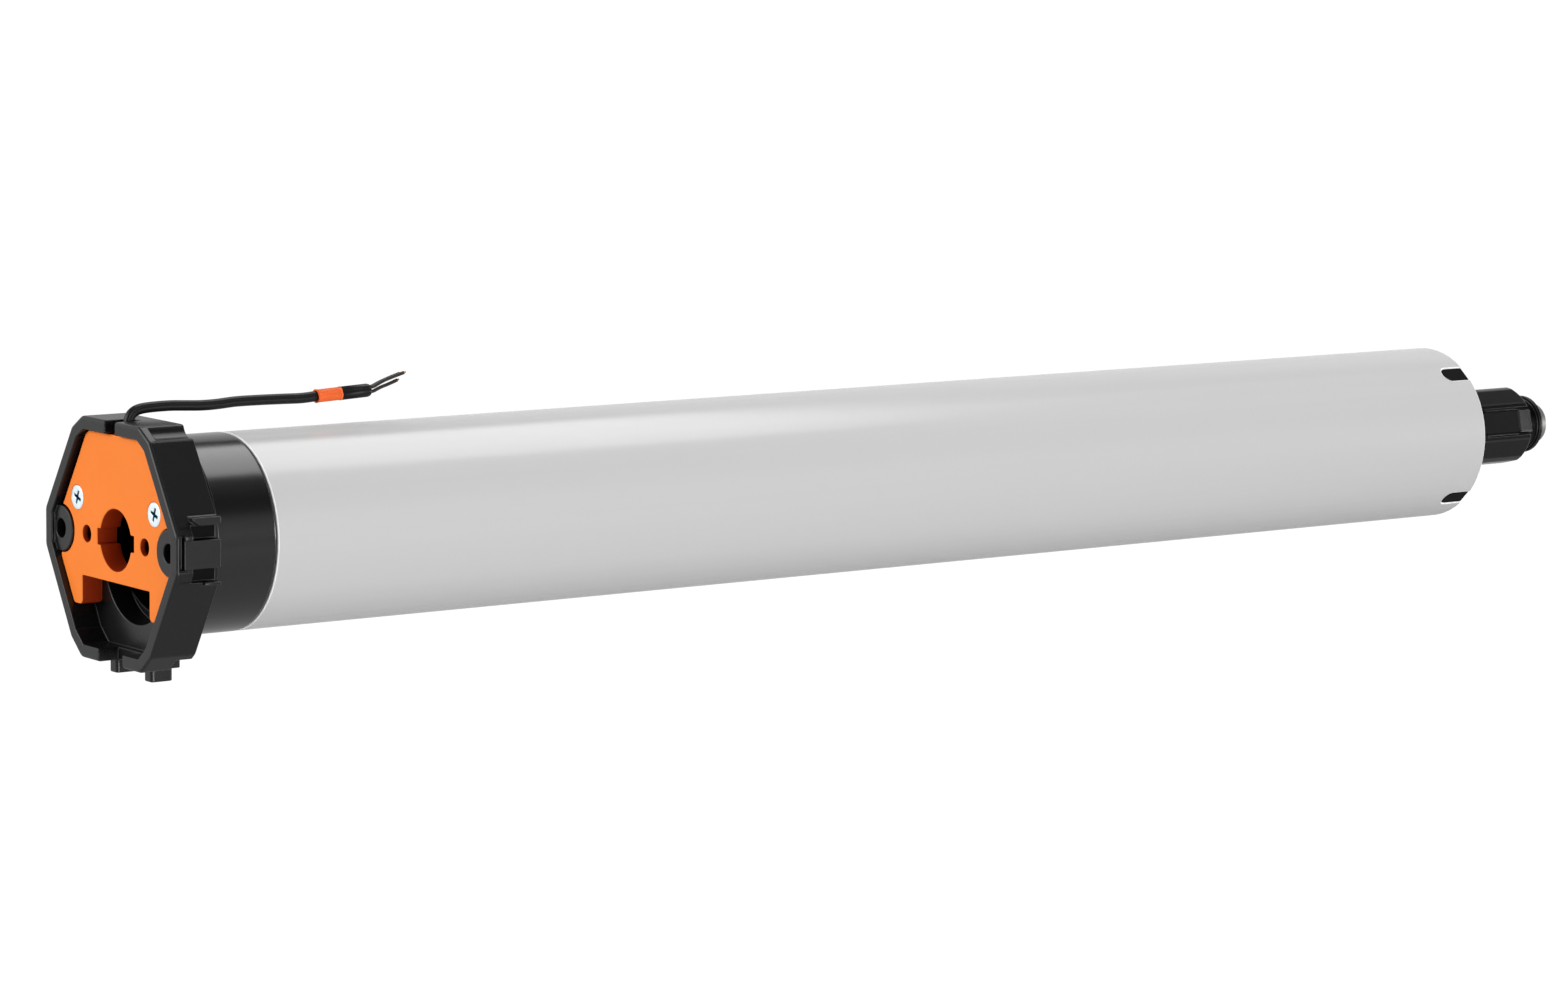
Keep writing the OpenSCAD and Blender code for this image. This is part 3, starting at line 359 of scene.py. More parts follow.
def fade(tree, value, start, end, low=0, high=1, **settings):
    """A number that goes from low to high while a value goes from start to end."""
    step = add_node(tree, "ShaderNodeMapRange", **settings)
    for label, number in (("From Min", start), ("From Max", end), ("To Min", low), ("To Max", high)):
        step.inputs[label].default_value = number
    link(tree, value, step.inputs["Value"])
    return step.outputs["Result"]


def combine(tree, operation, *values):
    """One number from several, such as their product or the largest of them."""
    result = values[0]
    for value in values[1:]:
        node = add_node(tree, "ShaderNodeMath", operation=operation)
        link(tree, result, node.inputs[0])
        link(tree, value, node.inputs[1])
        result = node.outputs[0]
    return result


# %% Walls and backdrop
# Height of a direction, from 0 at the horizon to 1 overhead, and the light that comes from it
WALL_LEVELS = [(0, 0.42), (0.34, 0.42), (0.43, 0.08), (0.62, 0.08), (0.74, 0.2)]
BACKDROP_LEVEL = 0.8
BACKDROP_FROM, BACKDROP_FULL = 0.05, 0.35
BACKDROP_TOP, BACKDROP_END = 0.5, 0.75
world = bpy.data.worlds.new("white_studio")
scene.world = world
world.use_nodes = True
tree = world.node_tree
tree.nodes.clear()
direction = split(tree, "Generated")
levels = add_node(tree, "ShaderNodeValToRGB")
while len(levels.color_ramp.elements) < len(WALL_LEVELS):
    levels.color_ramp.elements.new(1)
for element, (position, level) in zip(levels.color_ramp.elements, WALL_LEVELS):
    element.position = position
    element.color = (level, level, level, 1)
behind = fade(tree, direction["Y"], BACKDROP_FROM, BACKDROP_FULL, interpolation_type="SMOOTHSTEP")
below = fade(tree, direction["Z"], BACKDROP_END, BACKDROP_TOP, interpolation_type="SMOOTHSTEP")
room = add_node(tree, "ShaderNodeMix", data_type="RGBA")
room.inputs["B"].default_value = (BACKDROP_LEVEL, BACKDROP_LEVEL, BACKDROP_LEVEL, 1)
link(tree, direction["Z"], levels.inputs["Fac"])
link(tree, combine(tree, "MULTIPLY", behind, below), room.inputs["Factor"])
link(tree, levels.outputs["Color"], room.inputs["A"])
print("wall levels:", len(WALL_LEVELS))

# %% World
rays = add_node(tree, "ShaderNodeLightPath")
walls = add_node(tree, "ShaderNodeBackground")
white = add_node(tree, "ShaderNodeBackground")
white.inputs["Color"].default_value = (1, 1, 1, 1)
switch = add_node(tree, "ShaderNodeMixShader")
output = add_node(tree, "ShaderNodeOutputWorld")
link(tree, room.outputs["Result"], walls.inputs["Color"])
link(tree, rays.outputs["Is Camera Ray"], switch.inputs["Fac"])
link(tree, walls.outputs[0], switch.inputs[1])
link(tree, white.outputs[0], switch.inputs[2])
link(tree, switch.outputs[0], output.inputs["Surface"])
scene.view_settings.view_transform = "Standard"
print("world:", world.name)

# %% [markdown]
# ## The floor
# The motor hangs in white in the photograph, so the floor lies well below it. Most of what the
# camera sees of the floor is its own light, and the rest is paint that keeps the shadow.
# Glossy parts mirror the floor too. The front of the head mirrors the floor far behind the
# motor and its lower sides mirror the floor near the camera, which is darker in the
# photograph. So the share of own light in reflections grows with the distance behind the motor.

# %% Floor
FLOOR_DROP = 0.20
FLOOR_HALF = 30
floor_mesh = bpy.data.meshes.new("studio_floor")
floor_z = cad_box[0].z - FLOOR_DROP
floor_mesh.from_pydata(
    [(-FLOOR_HALF, -FLOOR_HALF, floor_z), (FLOOR_HALF, -FLOOR_HALF, floor_z),
     (FLOOR_HALF, FLOOR_HALF, floor_z), (-FLOOR_HALF, FLOOR_HALF, floor_z)],
    [], [(0, 1, 2, 3)])
floor = bpy.data.objects.new("studio_floor", floor_mesh)
scene.collection.objects.link(floor)
print("floor at", round(floor_z, 3))

# %% Floor paint
FLOOR_GREY = 0.34
FLOOR_WHITE = 1.12
SEEN_SHARE = 0.9
# Share of the floor's own light that reflections see, near the motor and far behind it
REFLECTED_NEAR, REFLECTED_FAR = 0.22, 0.82
NEAR_Y, FAR_Y = 0.3, 1.0
floor_paint = bpy.data.materials.new("studio_floor")
floor_paint.use_nodes = True
tree = floor_paint.node_tree
tree.nodes.clear()
rays = add_node(tree, "ShaderNodeLightPath").outputs
mirrored = combine(tree, "MAXIMUM", rays["Is Glossy Ray"], rays["Is Transmission Ray"])
depth = fade(tree, split(tree, "Object")["Y"], NEAR_Y, FAR_Y, REFLECTED_NEAR, REFLECTED_FAR)
seen = fade(tree, rays["Is Camera Ray"], 0, 1, 0, SEEN_SHARE)
share = combine(tree, "MAXIMUM", combine(tree, "MULTIPLY", mirrored, depth), seen)
paint = add_node(tree, "ShaderNodeBsdfDiffuse")
paint.inputs["Color"].default_value = (FLOOR_GREY, FLOOR_GREY, FLOOR_GREY, 1)
glow = add_node(tree, "ShaderNodeEmission")
glow.inputs["Strength"].default_value = FLOOR_WHITE
switch = add_node(tree, "ShaderNodeMixShader")
output = add_node(tree, "ShaderNodeOutputMaterial")
link(tree, share, switch.inputs["Fac"])
link(tree, paint.outputs[0], switch.inputs[1])
link(tree, glow.outputs[0], switch.inputs[2])
link(tree, switch.outputs[0], output.inputs["Surface"])
floor_mesh.materials.append(floor_paint)
print("floor paint:", floor_paint.name)

# %% [markdown]
# ## The lamps
# Five large soft lamps stand round the motor: one above, one towards the head, two on the side
# of the camera and one beyond the hub. A satin tube shows a lamp as a stripe where it mirrors
# that lamp into the camera. A smaller number of lamps would show fewer stripes, but leave one
# end dull, so the lamps stand off to the sides of that angle instead. Their power is set so
# that a colour looks about as it is written.

# %% Lamps
# Name, place, the point that it is turned to, size and watts
LAMPS = [
    ("top_softbox", (0.50, 0.18, 0.95), (0.50, 0.18, 0), (0.85, 0.88), 8),
    ("head_softbox", (-1.1, 0.40, 0.45), (0, 0, 0), (0.9, 0.9), 13.5),
    ("side_softbox", (0.18, -1.4, 0.10), (0.32, 0, 0), (0.8, 0.6), 8.2),
    ("low_softbox", (-0.05, -0.80, -0.16), (0.25, 0, 0), (0.7, 0.12), 2.4),
    ("far_softbox", (2.4, -0.9, 0), (0.4, 0, 0), (0.8, 0.4), 22),
]
for name, place, aim, size, watts in LAMPS:
    lamp_data = bpy.data.lights.new(name, "AREA")
    lamp_data.shape = "RECTANGLE"
    lamp_data.size, lamp_data.size_y = size
    lamp_data.energy = watts
    lamp = bpy.data.objects.new(name, lamp_data)
    scene.collection.objects.link(lamp)
    lamp.location = place
    lamp.rotation_euler = (Vector(aim) - Vector(place)).to_track_quat("-Z", "Y").to_euler()
print("lamps:", len(LAMPS))

# %% [markdown]
# ## Rounded edges
# The solids have perfectly sharp edges, and no real part has. A rounded edge catches a thin
# line of light, which is most of what the eye reads as a moulded or turned part. The bevel
# could be faked in the material, but then it would be lost in other programs. So each seen
# solid is copied, its split points are welded, flat regions are joined and a bevel modifier
# rounds what is left. A face with an inward corner can lose part of its surface in the bevel,
# so such faces are first cut at those corners. The new faces get a second material slot, where
# the head, the hub and the tube get a lighter finish: a painted highlight along their edges.

# %% Rounding helper
WELD = 0.001 * MM
FLAT_ANGLE = math.radians(0.4)
EDGE_ANGLE = math.radians(18)
LARGE_FACES_FIRST = 100
slot_of = {part["node"]: part["material_slot"] for part in frame["record"]["subparts"]}
EDGE_HIGHLIGHT = {}


def rounded_copy(node, name, edge, segments=3, highlight_slot=None):
    """A copy of a solid with rounded edges, in place of the solid."""
    mesh = bmesh.new()
    mesh.from_mesh(nodes[node].data)
    bmesh.ops.remove_doubles(mesh, verts=mesh.verts, dist=WELD)
    bmesh.ops.dissolve_limit(mesh, angle_limit=FLAT_ANGLE, verts=mesh.verts, edges=mesh.edges)
    bmesh.ops.connect_verts_concave(mesh, faces=mesh.faces)
    piece = keep_piece(name, mesh, nodes[node]["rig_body"], slot_of[node])
    for spare in ("custom_normal", "sharp_edge", "sharp_face"):
        if spare in piece.data.attributes:
            piece.data.attributes.remove(piece.data.attributes[spare])
    piece.data.materials.clear()
    bevel = piece.modifiers.new("soft_edges", "BEVEL")
    bevel.width = edge * MM
    bevel.segments = segments
    bevel.limit_method = "ANGLE"
    bevel.angle_limit = EDGE_ANGLE
    bevel.use_clamp_overlap = False
    bevel.loop_slide = False
    bevel.face_strength_mode = "FSTR_ALL"
    even = piece.modifiers.new("even_shading", "WEIGHTED_NORMAL")
    even.mode = "FACE_AREA"
    even.weight = LARGE_FACES_FIRST
    even.use_face_influence = True
    # Painted highlight: these rounded edges take a lighter finish than the faces.
    if highlight_slot:
        bevel.material = 1
        EDGE_HIGHLIGHT[name] = highlight_slot
    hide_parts(node)


# %% Rounded copies
rounded_copy("head_housing", "moulded_head", 0.28, highlight_slot="head_edge")
rounded_copy("face_plate", "bracket_plate", 0.28)
rounded_copy("plate_screws", "plate_screw_pair", 0.12, segments=2)
rounded_copy("motor_tube", "drawn_tube", 0.3, highlight_slot="tube_edge")
rounded_copy("drive_end_cap", "keyed_end_cap", 0.2)
rounded_copy("drive_hub", "eight_sided_hub", 0.3, highlight_slot="head_edge")
rounded_copy("end_washer", "hub_end_disc", 0.25)
rounded_copy("end_screw", "hub_end_screw", 0.12, segments=2)
print("rounded pieces:", len(PIECES))

# %% [markdown]
# ## The idle ring
# The ring between the head and the tube turns freely and carries the crown of the roller tube.
# It is the glossiest part of the motor, and facets would show in its long highlight, so it is
# turned from its own profile with far more sides than the solid has. A narrow band of points
# beside each rounded edge keeps the shading of the edge from spreading over the ring.

# %% Idle ring
RING_WALL = 2.5 * MM
RING_EDGE = 0.5 * MM
RING_BAND = 0.2 * MM
RING_SIDES = 240
EDGE_STEPS = 5
SHARP_ANGLE = math.radians(40)


def round_corner(x, radius, from_angle):
    """Points of a quarter round, as (x, radius) pairs round a centre."""
    angles = [from_angle + math.pi / 2 * k / EDGE_STEPS for k in range(EDGE_STEPS + 1)]
    return [(x + RING_EDGE * math.cos(a), radius + RING_EDGE * math.sin(a)) for a in angles]


low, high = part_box("running_ring")
ring_r = high.z
outer_r = ring_r - RING_EDGE
inner_r = ring_r - RING_WALL
section = round_corner(high.x - RING_EDGE, outer_r, 0)
section += [(high.x - RING_EDGE - RING_BAND, ring_r), (low.x + RING_EDGE + RING_BAND, ring_r)]
section += round_corner(low.x + RING_EDGE, outer_r, math.pi / 2)
section += [(low.x, inner_r), (high.x, inner_r)]
ring_rings = []
for k in range(RING_SIDES):
    angle = 2 * math.pi * k / RING_SIDES
    ring_rings.append([Vector((x, r * math.cos(angle), r * math.sin(angle))) for x, r in section])
idle_ring = keep_piece("idle_ring", loft(ring_rings, hollow=True), "running_ring", "ring_plastic")
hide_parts("running_ring")
idle_ring.data.set_sharp_from_angle(angle=SHARP_ANGLE)
print("ring radius:", round(ring_r * 1000, 2), "mm")

# %% [markdown]
# ## Shared surface effects
# Four effects are used by many finishes. Moulded grain is the fine texture that a mould leaves
# in plastic, with a faint cloudiness of colour. Drawn streaks are the fine lines along a drawn
# or rolled metal part. Handling marks are the soft patches where a surface has been touched,
# which change its gloss more than its colour. Hollow shade is the dark of places that light
# hardly reaches. Each is a node group, so one change reaches all its users.

# %% Group helper
def new_group(name, inputs, outputs):
    group = bpy.data.node_groups.new(name, "ShaderNodeTree")
    for label, kind, value in inputs:
        socket = group.interface.new_socket(label, in_out="INPUT", socket_type=kind)
        socket.default_value = value
    for label, kind in outputs:
        group.interface.new_socket(label, in_out="OUTPUT", socket_type=kind)
    return group, group.nodes.new("NodeGroupInput"), group.nodes.new("NodeGroupOutput")


NUMBER = "NodeSocketFloat"
COLOUR = "NodeSocketColor"
VECTOR = "NodeSocketVector"


def swing(tree, value, amount):
    """A number round 1 that follows a 0 to 1 noise, up and down by an amount."""
    centred = add_node(tree, "ShaderNodeMath", operation="SUBTRACT")
    centred.inputs[1].default_value = 0.5
    scaled = add_node(tree, "ShaderNodeMath", operation="MULTIPLY")
    raised = add_node(tree, "ShaderNodeMath", operation="ADD")
    raised.inputs[1].default_value = 1
    link(tree, value, centred.inputs[0])
    link(tree, centred.outputs[0], scaled.inputs[0])
    link(tree, amount, scaled.inputs[1])
    link(tree, scaled.outputs[0], raised.inputs[0])
    return raised.outputs[0]


# %% Moulded grain
CLOUD_SCALE = 90
CLOUD_DETAIL = 4
GRAIN_DETAIL = 3
GRAIN_HEIGHT = 0.05 * MM
moulded_grain, given, made = new_group(
    "moulded_grain",
    [("Colour", COLOUR, (0.5, 0.5, 0.5, 1)), ("Grain", NUMBER, 2500), ("Depth", NUMBER, 0.2),
     ("Cloudiness", NUMBER, 0.2)],
    [("Colour", COLOUR), ("Normal", VECTOR)])
place = add_node(moulded_grain, "ShaderNodeTexCoord")
grain = add_node(moulded_grain, "ShaderNodeTexNoise")
grain.inputs["Detail"].default_value = GRAIN_DETAIL
cloud = add_node(moulded_grain, "ShaderNodeTexNoise")
cloud.inputs["Scale"].default_value = CLOUD_SCALE
cloud.inputs["Detail"].default_value = CLOUD_DETAIL
bump = add_node(moulded_grain, "ShaderNodeBump")
bump.inputs["Distance"].default_value = GRAIN_HEIGHT
tint = add_node(moulded_grain, "ShaderNodeVectorMath", operation="SCALE")
link(moulded_grain, place.outputs["Object"], grain.inputs["Vector"])
link(moulded_grain, place.outputs["Object"], cloud.inputs["Vector"])
link(moulded_grain, given.outputs["Grain"], grain.inputs["Scale"])
link(moulded_grain, grain.outputs["Fac"], bump.inputs["Height"])
link(moulded_grain, given.outputs["Depth"], bump.inputs["Strength"])
link(moulded_grain, given.outputs["Colour"], tint.inputs[0])
clouded = swing(moulded_grain, cloud.outputs["Fac"], given.outputs["Cloudiness"])
link(moulded_grain, clouded, tint.inputs["Scale"])
link(moulded_grain, tint.outputs[0], made.inputs["Colour"])
link(moulded_grain, bump.outputs[0], made.inputs["Normal"])
print("group:", moulded_grain.name)

# %% Drawn streaks
STREAK_DETAIL = 5
STREAK_HEIGHT = 0.02 * MM
drawn_streaks, given, made = new_group(
    "drawn_streaks",
    [("Colour", COLOUR, (0.5, 0.5, 0.5, 1)), ("Fineness", NUMBER, 900), ("Stretch", NUMBER, 0.01),
     ("Depth", NUMBER, 0.1), ("Contrast", NUMBER, 0.1)],
    [("Colour", COLOUR), ("Normal", VECTOR)])
place = add_node(drawn_streaks, "ShaderNodeTexCoord")
squeeze = add_node(drawn_streaks, "ShaderNodeCombineXYZ")
squeeze.inputs["Y"].default_value = 1
squeeze.inputs["Z"].default_value = 1
lengthwise = add_node(drawn_streaks, "ShaderNodeVectorMath", operation="MULTIPLY")
streak = add_node(drawn_streaks, "ShaderNodeTexNoise")
streak.inputs["Detail"].default_value = STREAK_DETAIL
bump = add_node(drawn_streaks, "ShaderNodeBump")
bump.inputs["Distance"].default_value = STREAK_HEIGHT
tint = add_node(drawn_streaks, "ShaderNodeVectorMath", operation="SCALE")
link(drawn_streaks, given.outputs["Stretch"], squeeze.inputs["X"])
link(drawn_streaks, place.outputs["Object"], lengthwise.inputs[0])
link(drawn_streaks, squeeze.outputs[0], lengthwise.inputs[1])
link(drawn_streaks, lengthwise.outputs[0], streak.inputs["Vector"])
link(drawn_streaks, given.outputs["Fineness"], streak.inputs["Scale"])
link(drawn_streaks, streak.outputs["Fac"], bump.inputs["Height"])
link(drawn_streaks, given.outputs["Depth"], bump.inputs["Strength"])
link(drawn_streaks, given.outputs["Colour"], tint.inputs[0])
streaked = swing(drawn_streaks, streak.outputs["Fac"], given.outputs["Contrast"])
link(drawn_streaks, streaked, tint.inputs["Scale"])
link(drawn_streaks, tint.outputs[0], made.inputs["Colour"])
link(drawn_streaks, bump.outputs[0], made.inputs["Normal"])
print("group:", drawn_streaks.name)

# %% Handling marks
PATCH_DETAIL, PATCH_ROUGHNESS, PATCH_DISTORTION = 6, 0.65, 0.8
handling_marks, given, made = new_group(
    "handling_marks",
    [("Spread", NUMBER, 60), ("Gloss", NUMBER, 0.4), ("Change", NUMBER, 0.1)],
    [("Roughness", NUMBER)])
place = add_node(handling_marks, "ShaderNodeTexCoord")
patches = add_node(handling_marks, "ShaderNodeTexNoise")
patches.inputs["Detail"].default_value = PATCH_DETAIL
patches.inputs["Roughness"].default_value = PATCH_ROUGHNESS
patches.inputs["Distortion"].default_value = PATCH_DISTORTION
worn = add_node(handling_marks, "ShaderNodeMath", operation="MULTIPLY")
link(handling_marks, place.outputs["Object"], patches.inputs["Vector"])
link(handling_marks, given.outputs["Spread"], patches.inputs["Scale"])
changed = swing(handling_marks, patches.outputs["Fac"], given.outputs["Change"])
link(handling_marks, changed, worn.inputs[0])
link(handling_marks, given.outputs["Gloss"], worn.inputs[1])
link(handling_marks, worn.outputs[0], made.inputs["Roughness"])
print("group:", handling_marks.name)

# %% Hollow shade
hollow_shade, given, made = new_group(
    "hollow_shade",
    [("Colour", COLOUR, (0.5, 0.5, 0.5, 1)), ("Deep", COLOUR, (0, 0, 0, 1)), ("Mask", NUMBER, 0)],
    [("Colour", COLOUR)])
blend = add_node(hollow_shade, "ShaderNodeMix", data_type="RGBA")
link(hollow_shade, given.outputs["Mask"], blend.inputs["Factor"])
link(hollow_shade, given.outputs["Colour"], blend.inputs["A"])
link(hollow_shade, given.outputs["Deep"], blend.inputs["B"])
link(hollow_shade, blend.outputs["Result"], made.inputs["Colour"])
print("group:", hollow_shade.name)

# %% [markdown]
# ## Finishes
# Every finish is either moulded or drawn. A moulded one is plastic, rubber or board with a
# grain; a drawn one is metal with fine lines. The values are the colour, the roughness and how
# strong each effect is. Colours are linear, so black plastic is near 0.01 and not 0.1.

# %% Finish helpers
FINISHES = {}


def use_group(tree, group, **values):
    node = add_node(tree, "ShaderNodeGroup", node_tree=group)
    for label, value in values.items():
        node.inputs[label].default_value = value
    return node


def new_finish(name, skin_group, gloss, wear, **skin_values):
    """A finish whose colour and normal come from one group and whose roughness is a little worn."""
    finish = bpy.data.materials.new(name)
    finish.use_nodes = True
    FINISHES[name] = finish
    tree, shader = finish.node_tree, finish.node_tree.nodes["Principled BSDF"]
    skin = use_group(tree, skin_group, **skin_values)
    touch = use_group(tree, handling_marks, Gloss=gloss, Change=wear)
    link(tree, skin.outputs["Colour"], shader.inputs["Base Color"])
    link(tree, skin.outputs["Normal"], shader.inputs["Normal"])
    link(tree, touch.outputs["Roughness"], shader.inputs["Roughness"])
    return tree, shader


# %% Moulded and drawn finishes
def moulded(name, colour, roughness, specular=0.5, grain=2500, depth=0.2, cloudiness=0.25, wear=0.3):
    tree, shader = new_finish(name, moulded_grain, roughness, wear, Colour=(*colour, 1), Grain=grain,
                              Depth=depth, Cloudiness=cloudiness)
    shader.inputs["Specular IOR Level"].default_value = specular
    return tree, shader


def drawn(name, colour, roughness, metallic=1.0, fineness=900, stretch=0.01, depth=0.1, contrast=0.1,
          wear=0.3):
    tree, shader = new_finish(name, drawn_streaks, roughness, wear, Colour=(*colour, 1), Fineness=fineness,
                              Stretch=stretch, Depth=depth, Contrast=contrast)
    shader.inputs["Metallic"].default_value = metallic
    return tree, shader


# %% [markdown]
# ## Hollows
# The clip pockets of the head, the holes and cut walls of the plate and the groove of the hub
# get hardly any light, and the photograph shows them nearly black. The white floor and walls
# of this studio light them too much. An occlusion node could find such places, but it is slow.
# Instead each finish gets painted shade there: a mask from the place on the part, or from the
# way its surface faces, mixes a dark colour in. Such a mask turns with the part and looks the
# same from every side.

# %% Mask helpers
HOLLOW_BLACK = (0.0015, 0.0015, 0.0016, 1)


def from_middle(tree, value):
    """The distance from the middle, the same on both sides."""
    node = add_node(tree, "ShaderNodeMath", operation="ABSOLUTE")
    link(tree, value, node.inputs[0])
    return node.outputs[0]


def near(tree, value, middle, reach):
    """A mask that is 1 where a value is within reach of a middle."""
    node = add_node(tree, "ShaderNodeMath", operation="COMPARE")
    link(tree, value, node.inputs[0])
    node.inputs[1].default_value = middle
    node.inputs[2].default_value = reach
    return node.outputs[0]


def shade_in(tree, shader, mask, deep):
    """Mixes a deep colour into a finish where the mask is 1."""
    shade = use_group(tree, hollow_shade, Deep=deep)
    link(tree, shader.inputs["Base Color"].links[0].from_socket, shade.inputs["Colour"])
    link(tree, mask, shade.inputs["Mask"])
    link(tree, shade.outputs["Colour"], shader.inputs["Base Color"])


# %% Head plastic
# Painted shade: the clip pockets of the head are mixed to near black and lose their gloss coat.
POCKET_X = -0.5 * MM
POCKET_SIDE, POCKET_MOUTH, POCKET_HALF = 26.2 * MM, 28.7 * MM, 6.35 * MM
POCKET_FADE = 0.5 * MM
HEAD_GLOSS, HEAD_GLOSS_ROUGHNESS = 0.7, 0.27
tree, shader = moulded("head_plastic", (0.0065, 0.0065, 0.0068), 0.42, specular=0, grain=2200, depth=0.25)
place = split(tree, "Object")
side = from_middle(tree, place["Y"])
pocket = combine(
    tree, "MULTIPLY",
    fade(tree, place["X"], POCKET_X, POCKET_X + POCKET_FADE),
    fade(tree, side, POCKET_MOUTH, POCKET_MOUTH - POCKET_FADE),
    fade(tree, side, POCKET_SIDE, POCKET_SIDE + POCKET_FADE),
    fade(tree, from_middle(tree, place["Z"]), POCKET_HALF, POCKET_HALF - POCKET_FADE))
shade_in(tree, shader, pocket, HOLLOW_BLACK)
link(tree, fade(tree, pocket, 0, 1, HEAD_GLOSS, 0), shader.inputs["Coat Weight"])
shader.inputs["Coat Roughness"].default_value = HEAD_GLOSS_ROUGHNESS
# Painted highlight: a lighter colour on the rounded edges of the head and the hub.
moulded("head_edge", (0.009, 0.009, 0.0094), 0.36, specular=0.35, grain=2200, depth=0.1)
print("head finishes:", list(FINISHES))

# %% Plate plastic
# Painted shade: sideways walls of the plate go deep red, and the pin holes black beyond PIN_LIT.
PLATE_WALL_SHADE = (0.4, 0.036, 0.005, 1)
WALL_FACING, FRONT_FACING = 0.2, 0.6
PIN_Y, PIN_R = 12.9 * MM, 2.1 * MM
PIN_LIT, PIN_DARK = 0.9 * MM, 1.5 * MM
PIN_BLACK = (0.004, 0.001, 0.0006, 1)
tree, shader = moulded("plate_plastic", (0.90, 0.222, 0.031), 0.5, specular=0.12, grain=1800, depth=0.15,
                       cloudiness=0.08)
front = from_middle(tree, split(tree, "Normal")["X"])
shade_in(tree, shader, fade(tree, front, FRONT_FACING, WALL_FACING), PLATE_WALL_SHADE)
place = split(tree, "Object")
pin_hole = combine(
    tree, "MULTIPLY",
    near(tree, from_middle(tree, place["Y"]), PIN_Y, PIN_R),
    near(tree, place["Z"], 0, PIN_R),
    fade(tree, place["X"], PIN_LIT, PIN_DARK))
shade_in(tree, shader, pin_hole, PIN_BLACK)
print("pin holes shaded", round(PIN_Y * 1000, 1), "mm from the middle")

# %% Hub plastic
# Painted shade: faces turned back towards the head and the groove near the axis go near black.
BACK_FROM, BACK_FULL = -0.4, -0.8
HUB_GROOVE_R, HUB_GROOVE_FADE = 7.0 * MM, 0.3 * MM
tree, shader = moulded("hub_plastic", (0.007, 0.007, 0.0073), 0.2, specular=0.14, grain=2200, depth=0.15)
place = split(tree, "Object")
across = add_node(tree, "ShaderNodeCombineXYZ")
reach = add_node(tree, "ShaderNodeVectorMath", operation="LENGTH")
link(tree, place["Y"], across.inputs["Y"])
link(tree, place["Z"], across.inputs["Z"])
link(tree, across.outputs[0], reach.inputs[0])
dark = combine(
    tree, "MAXIMUM",
    fade(tree, split(tree, "Normal")["X"], BACK_FROM, BACK_FULL),
    fade(tree, reach.outputs["Value"], HUB_GROOVE_R + HUB_GROOVE_FADE, HUB_GROOVE_R))
shade_in(tree, shader, dark, HOLLOW_BLACK)
print("hub shaded inside", round(HUB_GROOVE_R * 1000, 1), "mm of the axis")

# %% [markdown]
# ## Other finishes that are seen
# The idle ring is the glossiest plastic and the end cap the dullest. The tube is satin metal,
# but its pale coat spreads light more than bare metal does, so it is written as a pale surface
# with some gloss, and its rounded cut edges are painted near white as a highlight. The plate
# screws are zinc plated: they look white where they face the light, and the cross recess is one
# more hollow with a mask, painted with dark shade in the blue tint of the plating.

# %% Other plastics that are seen
moulded("ring_plastic", (0.004, 0.004, 0.0043), 0.2, specular=0.65, grain=900, depth=0.03, wear=0.25)
moulded("cap_plastic", (0.004, 0.004, 0.0043), 0.6, specular=0.07, grain=2200, depth=0.2)
moulded("lead_sheath", (0.005, 0.005, 0.0053), 0.42, specular=0.25, grain=3000, depth=0.12)
moulded("marker_orange", (0.76, 0.12, 0.02), 0.55, specular=0.25, grain=2600, depth=0.3, cloudiness=0.2)
moulded("wire_insulation", (0.014, 0.009, 0.008), 0.45, specular=0.4, grain=3000, depth=0.1)
print("finishes so far:", len(FINISHES))

# %% Metals that are seen
drawn("tube_metal", (0.53, 0.53, 0.53), 0.22, metallic=0, fineness=300, stretch=0.004, depth=0.03,
      contrast=0.05, wear=0.06)
# Painted highlight: the tube's rounded cut edges are near white.
drawn("tube_edge", (0.95, 0.95, 0.95), 0.4, metallic=0, fineness=900, stretch=1, depth=0.05)
drawn("zinc_steel", (0.27, 0.27, 0.26), 0.45, metallic=0.8, fineness=1500, stretch=1, depth=0.08)
print("finishes so far:", len(FINISHES))

# %% Zinc plate screws
# Painted shade in the cross recess, tinted blue like the zinc plating.
RECESS_START = 0.03 * MM
RECESS_DEEP = 0.3 * MM
RECESS_BLUE_SHADE = (0.003, 0.10, 0.19, 1)
screw_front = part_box("plate_screws")[0].x
tree, shader = drawn("plate_screw_zinc", (0.80, 0.92, 0.96), 0.32, metallic=0.6, fineness=1500, stretch=1)
recess = fade(tree, split(tree, "Object")["X"], screw_front + RECESS_START, screw_front + RECESS_DEEP)
shade_in(tree, shader, recess, RECESS_BLUE_SHADE)
print("screw front at", round(screw_front * 1000, 2), "mm")

# %% [markdown]
# ## Finishes inside
# The inside shows only when the tube is taken off, but every piece has its own material there
# as well: green board, copper windings, steel gears, a bronze bush and a rough brake lining.
# One grey for all would be quicker, and useless to anyone who opens the motor in a drawing.

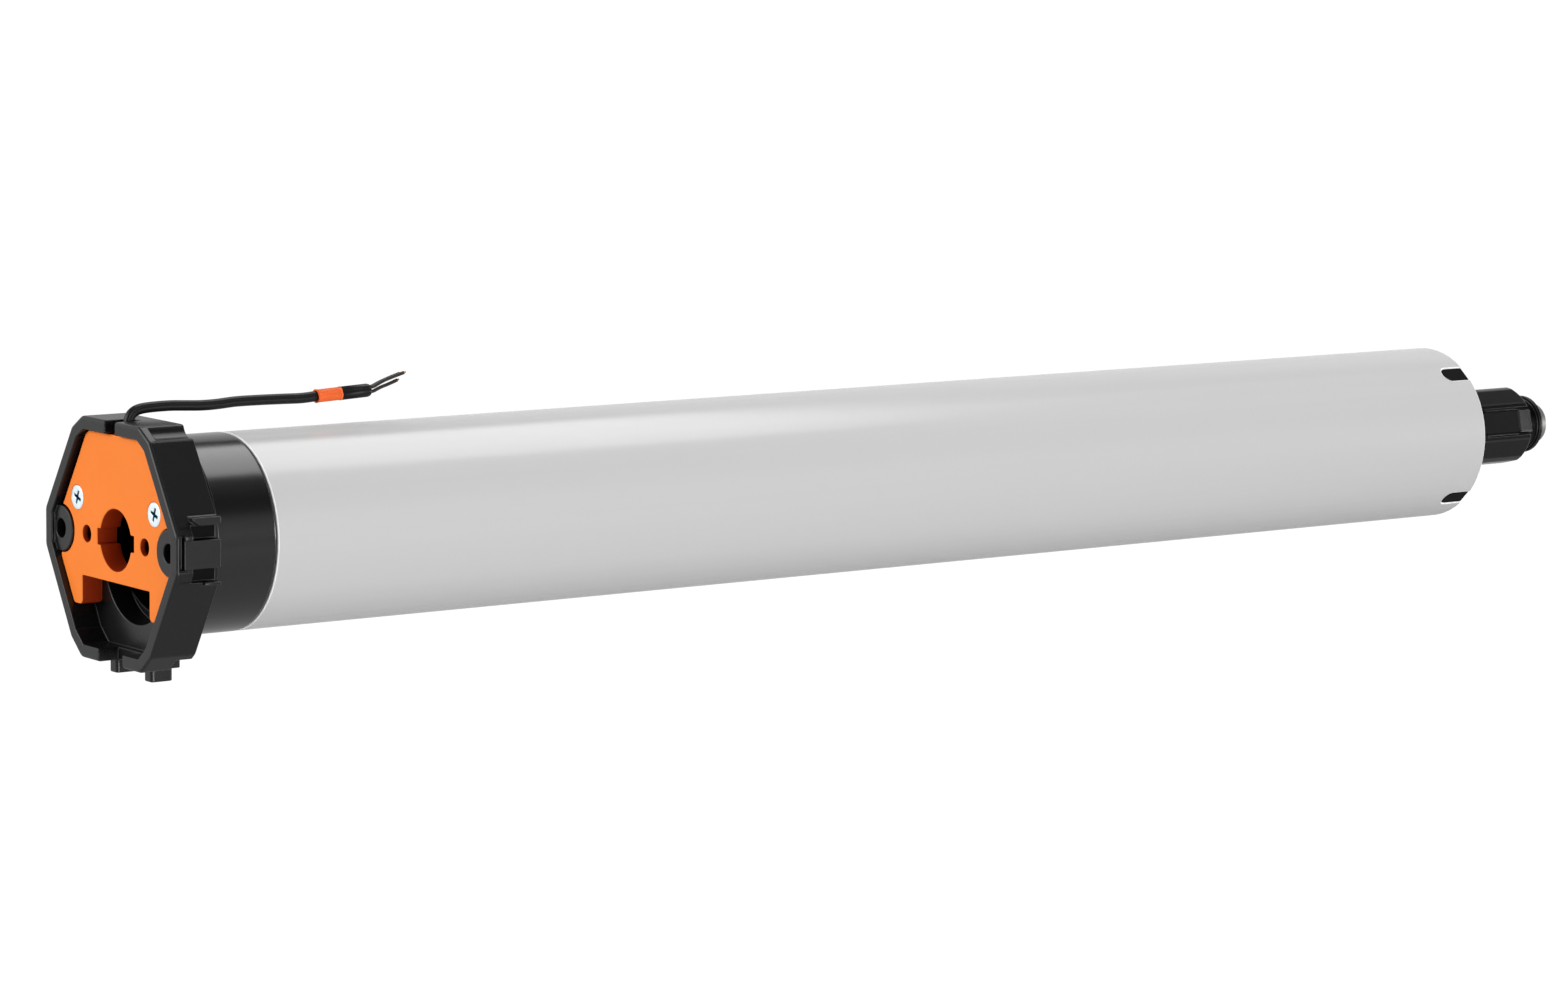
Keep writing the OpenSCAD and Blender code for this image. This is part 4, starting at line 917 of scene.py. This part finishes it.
# %% Plastics inside
moulded("clamp_plastic", (0.02, 0.02, 0.021), 0.5)
moulded("inner_plastic", (0.025, 0.025, 0.027), 0.5)
moulded("circuit_board", (0.02, 0.11, 0.045), 0.45, grain=1200, cloudiness=0.4)
moulded("terminal_plastic", (0.07, 0.2, 0.09), 0.45)
moulded("relay_plastic", (0.03, 0.05, 0.16), 0.35, depth=0.08)
moulded("capacitor_case", (0.62, 0.62, 0.6), 0.4, depth=0.08)
moulded("magnet_ferrite", (0.03, 0.03, 0.032), 0.7, grain=1500, depth=0.5)
moulded("friction_lining", (0.09, 0.055, 0.04), 0.85, grain=1600, depth=0.9, cloudiness=0.6)
print("finishes so far:", len(FINISHES))

# %% Metals inside
drawn("coil_copper", (0.72, 0.27, 0.12), 0.35, fineness=1400, stretch=1, depth=0.3, contrast=0.3)
drawn("bell_aluminium", (0.66, 0.67, 0.68), 0.45, fineness=1200, stretch=1, depth=0.25)
drawn("bearing_steel", (0.6, 0.6, 0.61), 0.22, fineness=1500, stretch=1)
drawn("core_steel", (0.3, 0.31, 0.33), 0.5, fineness=2400, stretch=8, depth=0.4, contrast=0.4)
drawn("shaft_steel", (0.56, 0.56, 0.57), 0.25, fineness=1500)
drawn("gear_steel", (0.36, 0.36, 0.37), 0.38, fineness=1500, stretch=1, contrast=0.2)
drawn("bush_bronze", (0.55, 0.36, 0.16), 0.4, fineness=1200, stretch=1, depth=0.2)
print("finishes:", len(FINISHES))

# %% [markdown]
# ## Dressing
# New pieces take the finish of their slot and, where they have one, a lighter second finish on
# their rounded edges as a painted highlight. Every solid that is still shown takes the finish of
# its slot too.

# %% Dress every piece
OWN_FINISH = {"plate_screw_pair": "plate_screw_zinc"}
for name, slot in PIECES.items():
    materials = bpy.data.objects[name].data.materials
    materials.clear()
    materials.append(FINISHES[OWN_FINISH.get(name, slot)])
    if name in EDGE_HIGHLIGHT:
        materials.append(FINISHES[EDGE_HIGHLIGHT[name]])
for name, node in nodes.items():
    node.data.materials.clear()
    node.data.materials.append(FINISHES[slot_of[name]])
print("dressed:", len(PIECES), "pieces and", len(nodes), "solids")
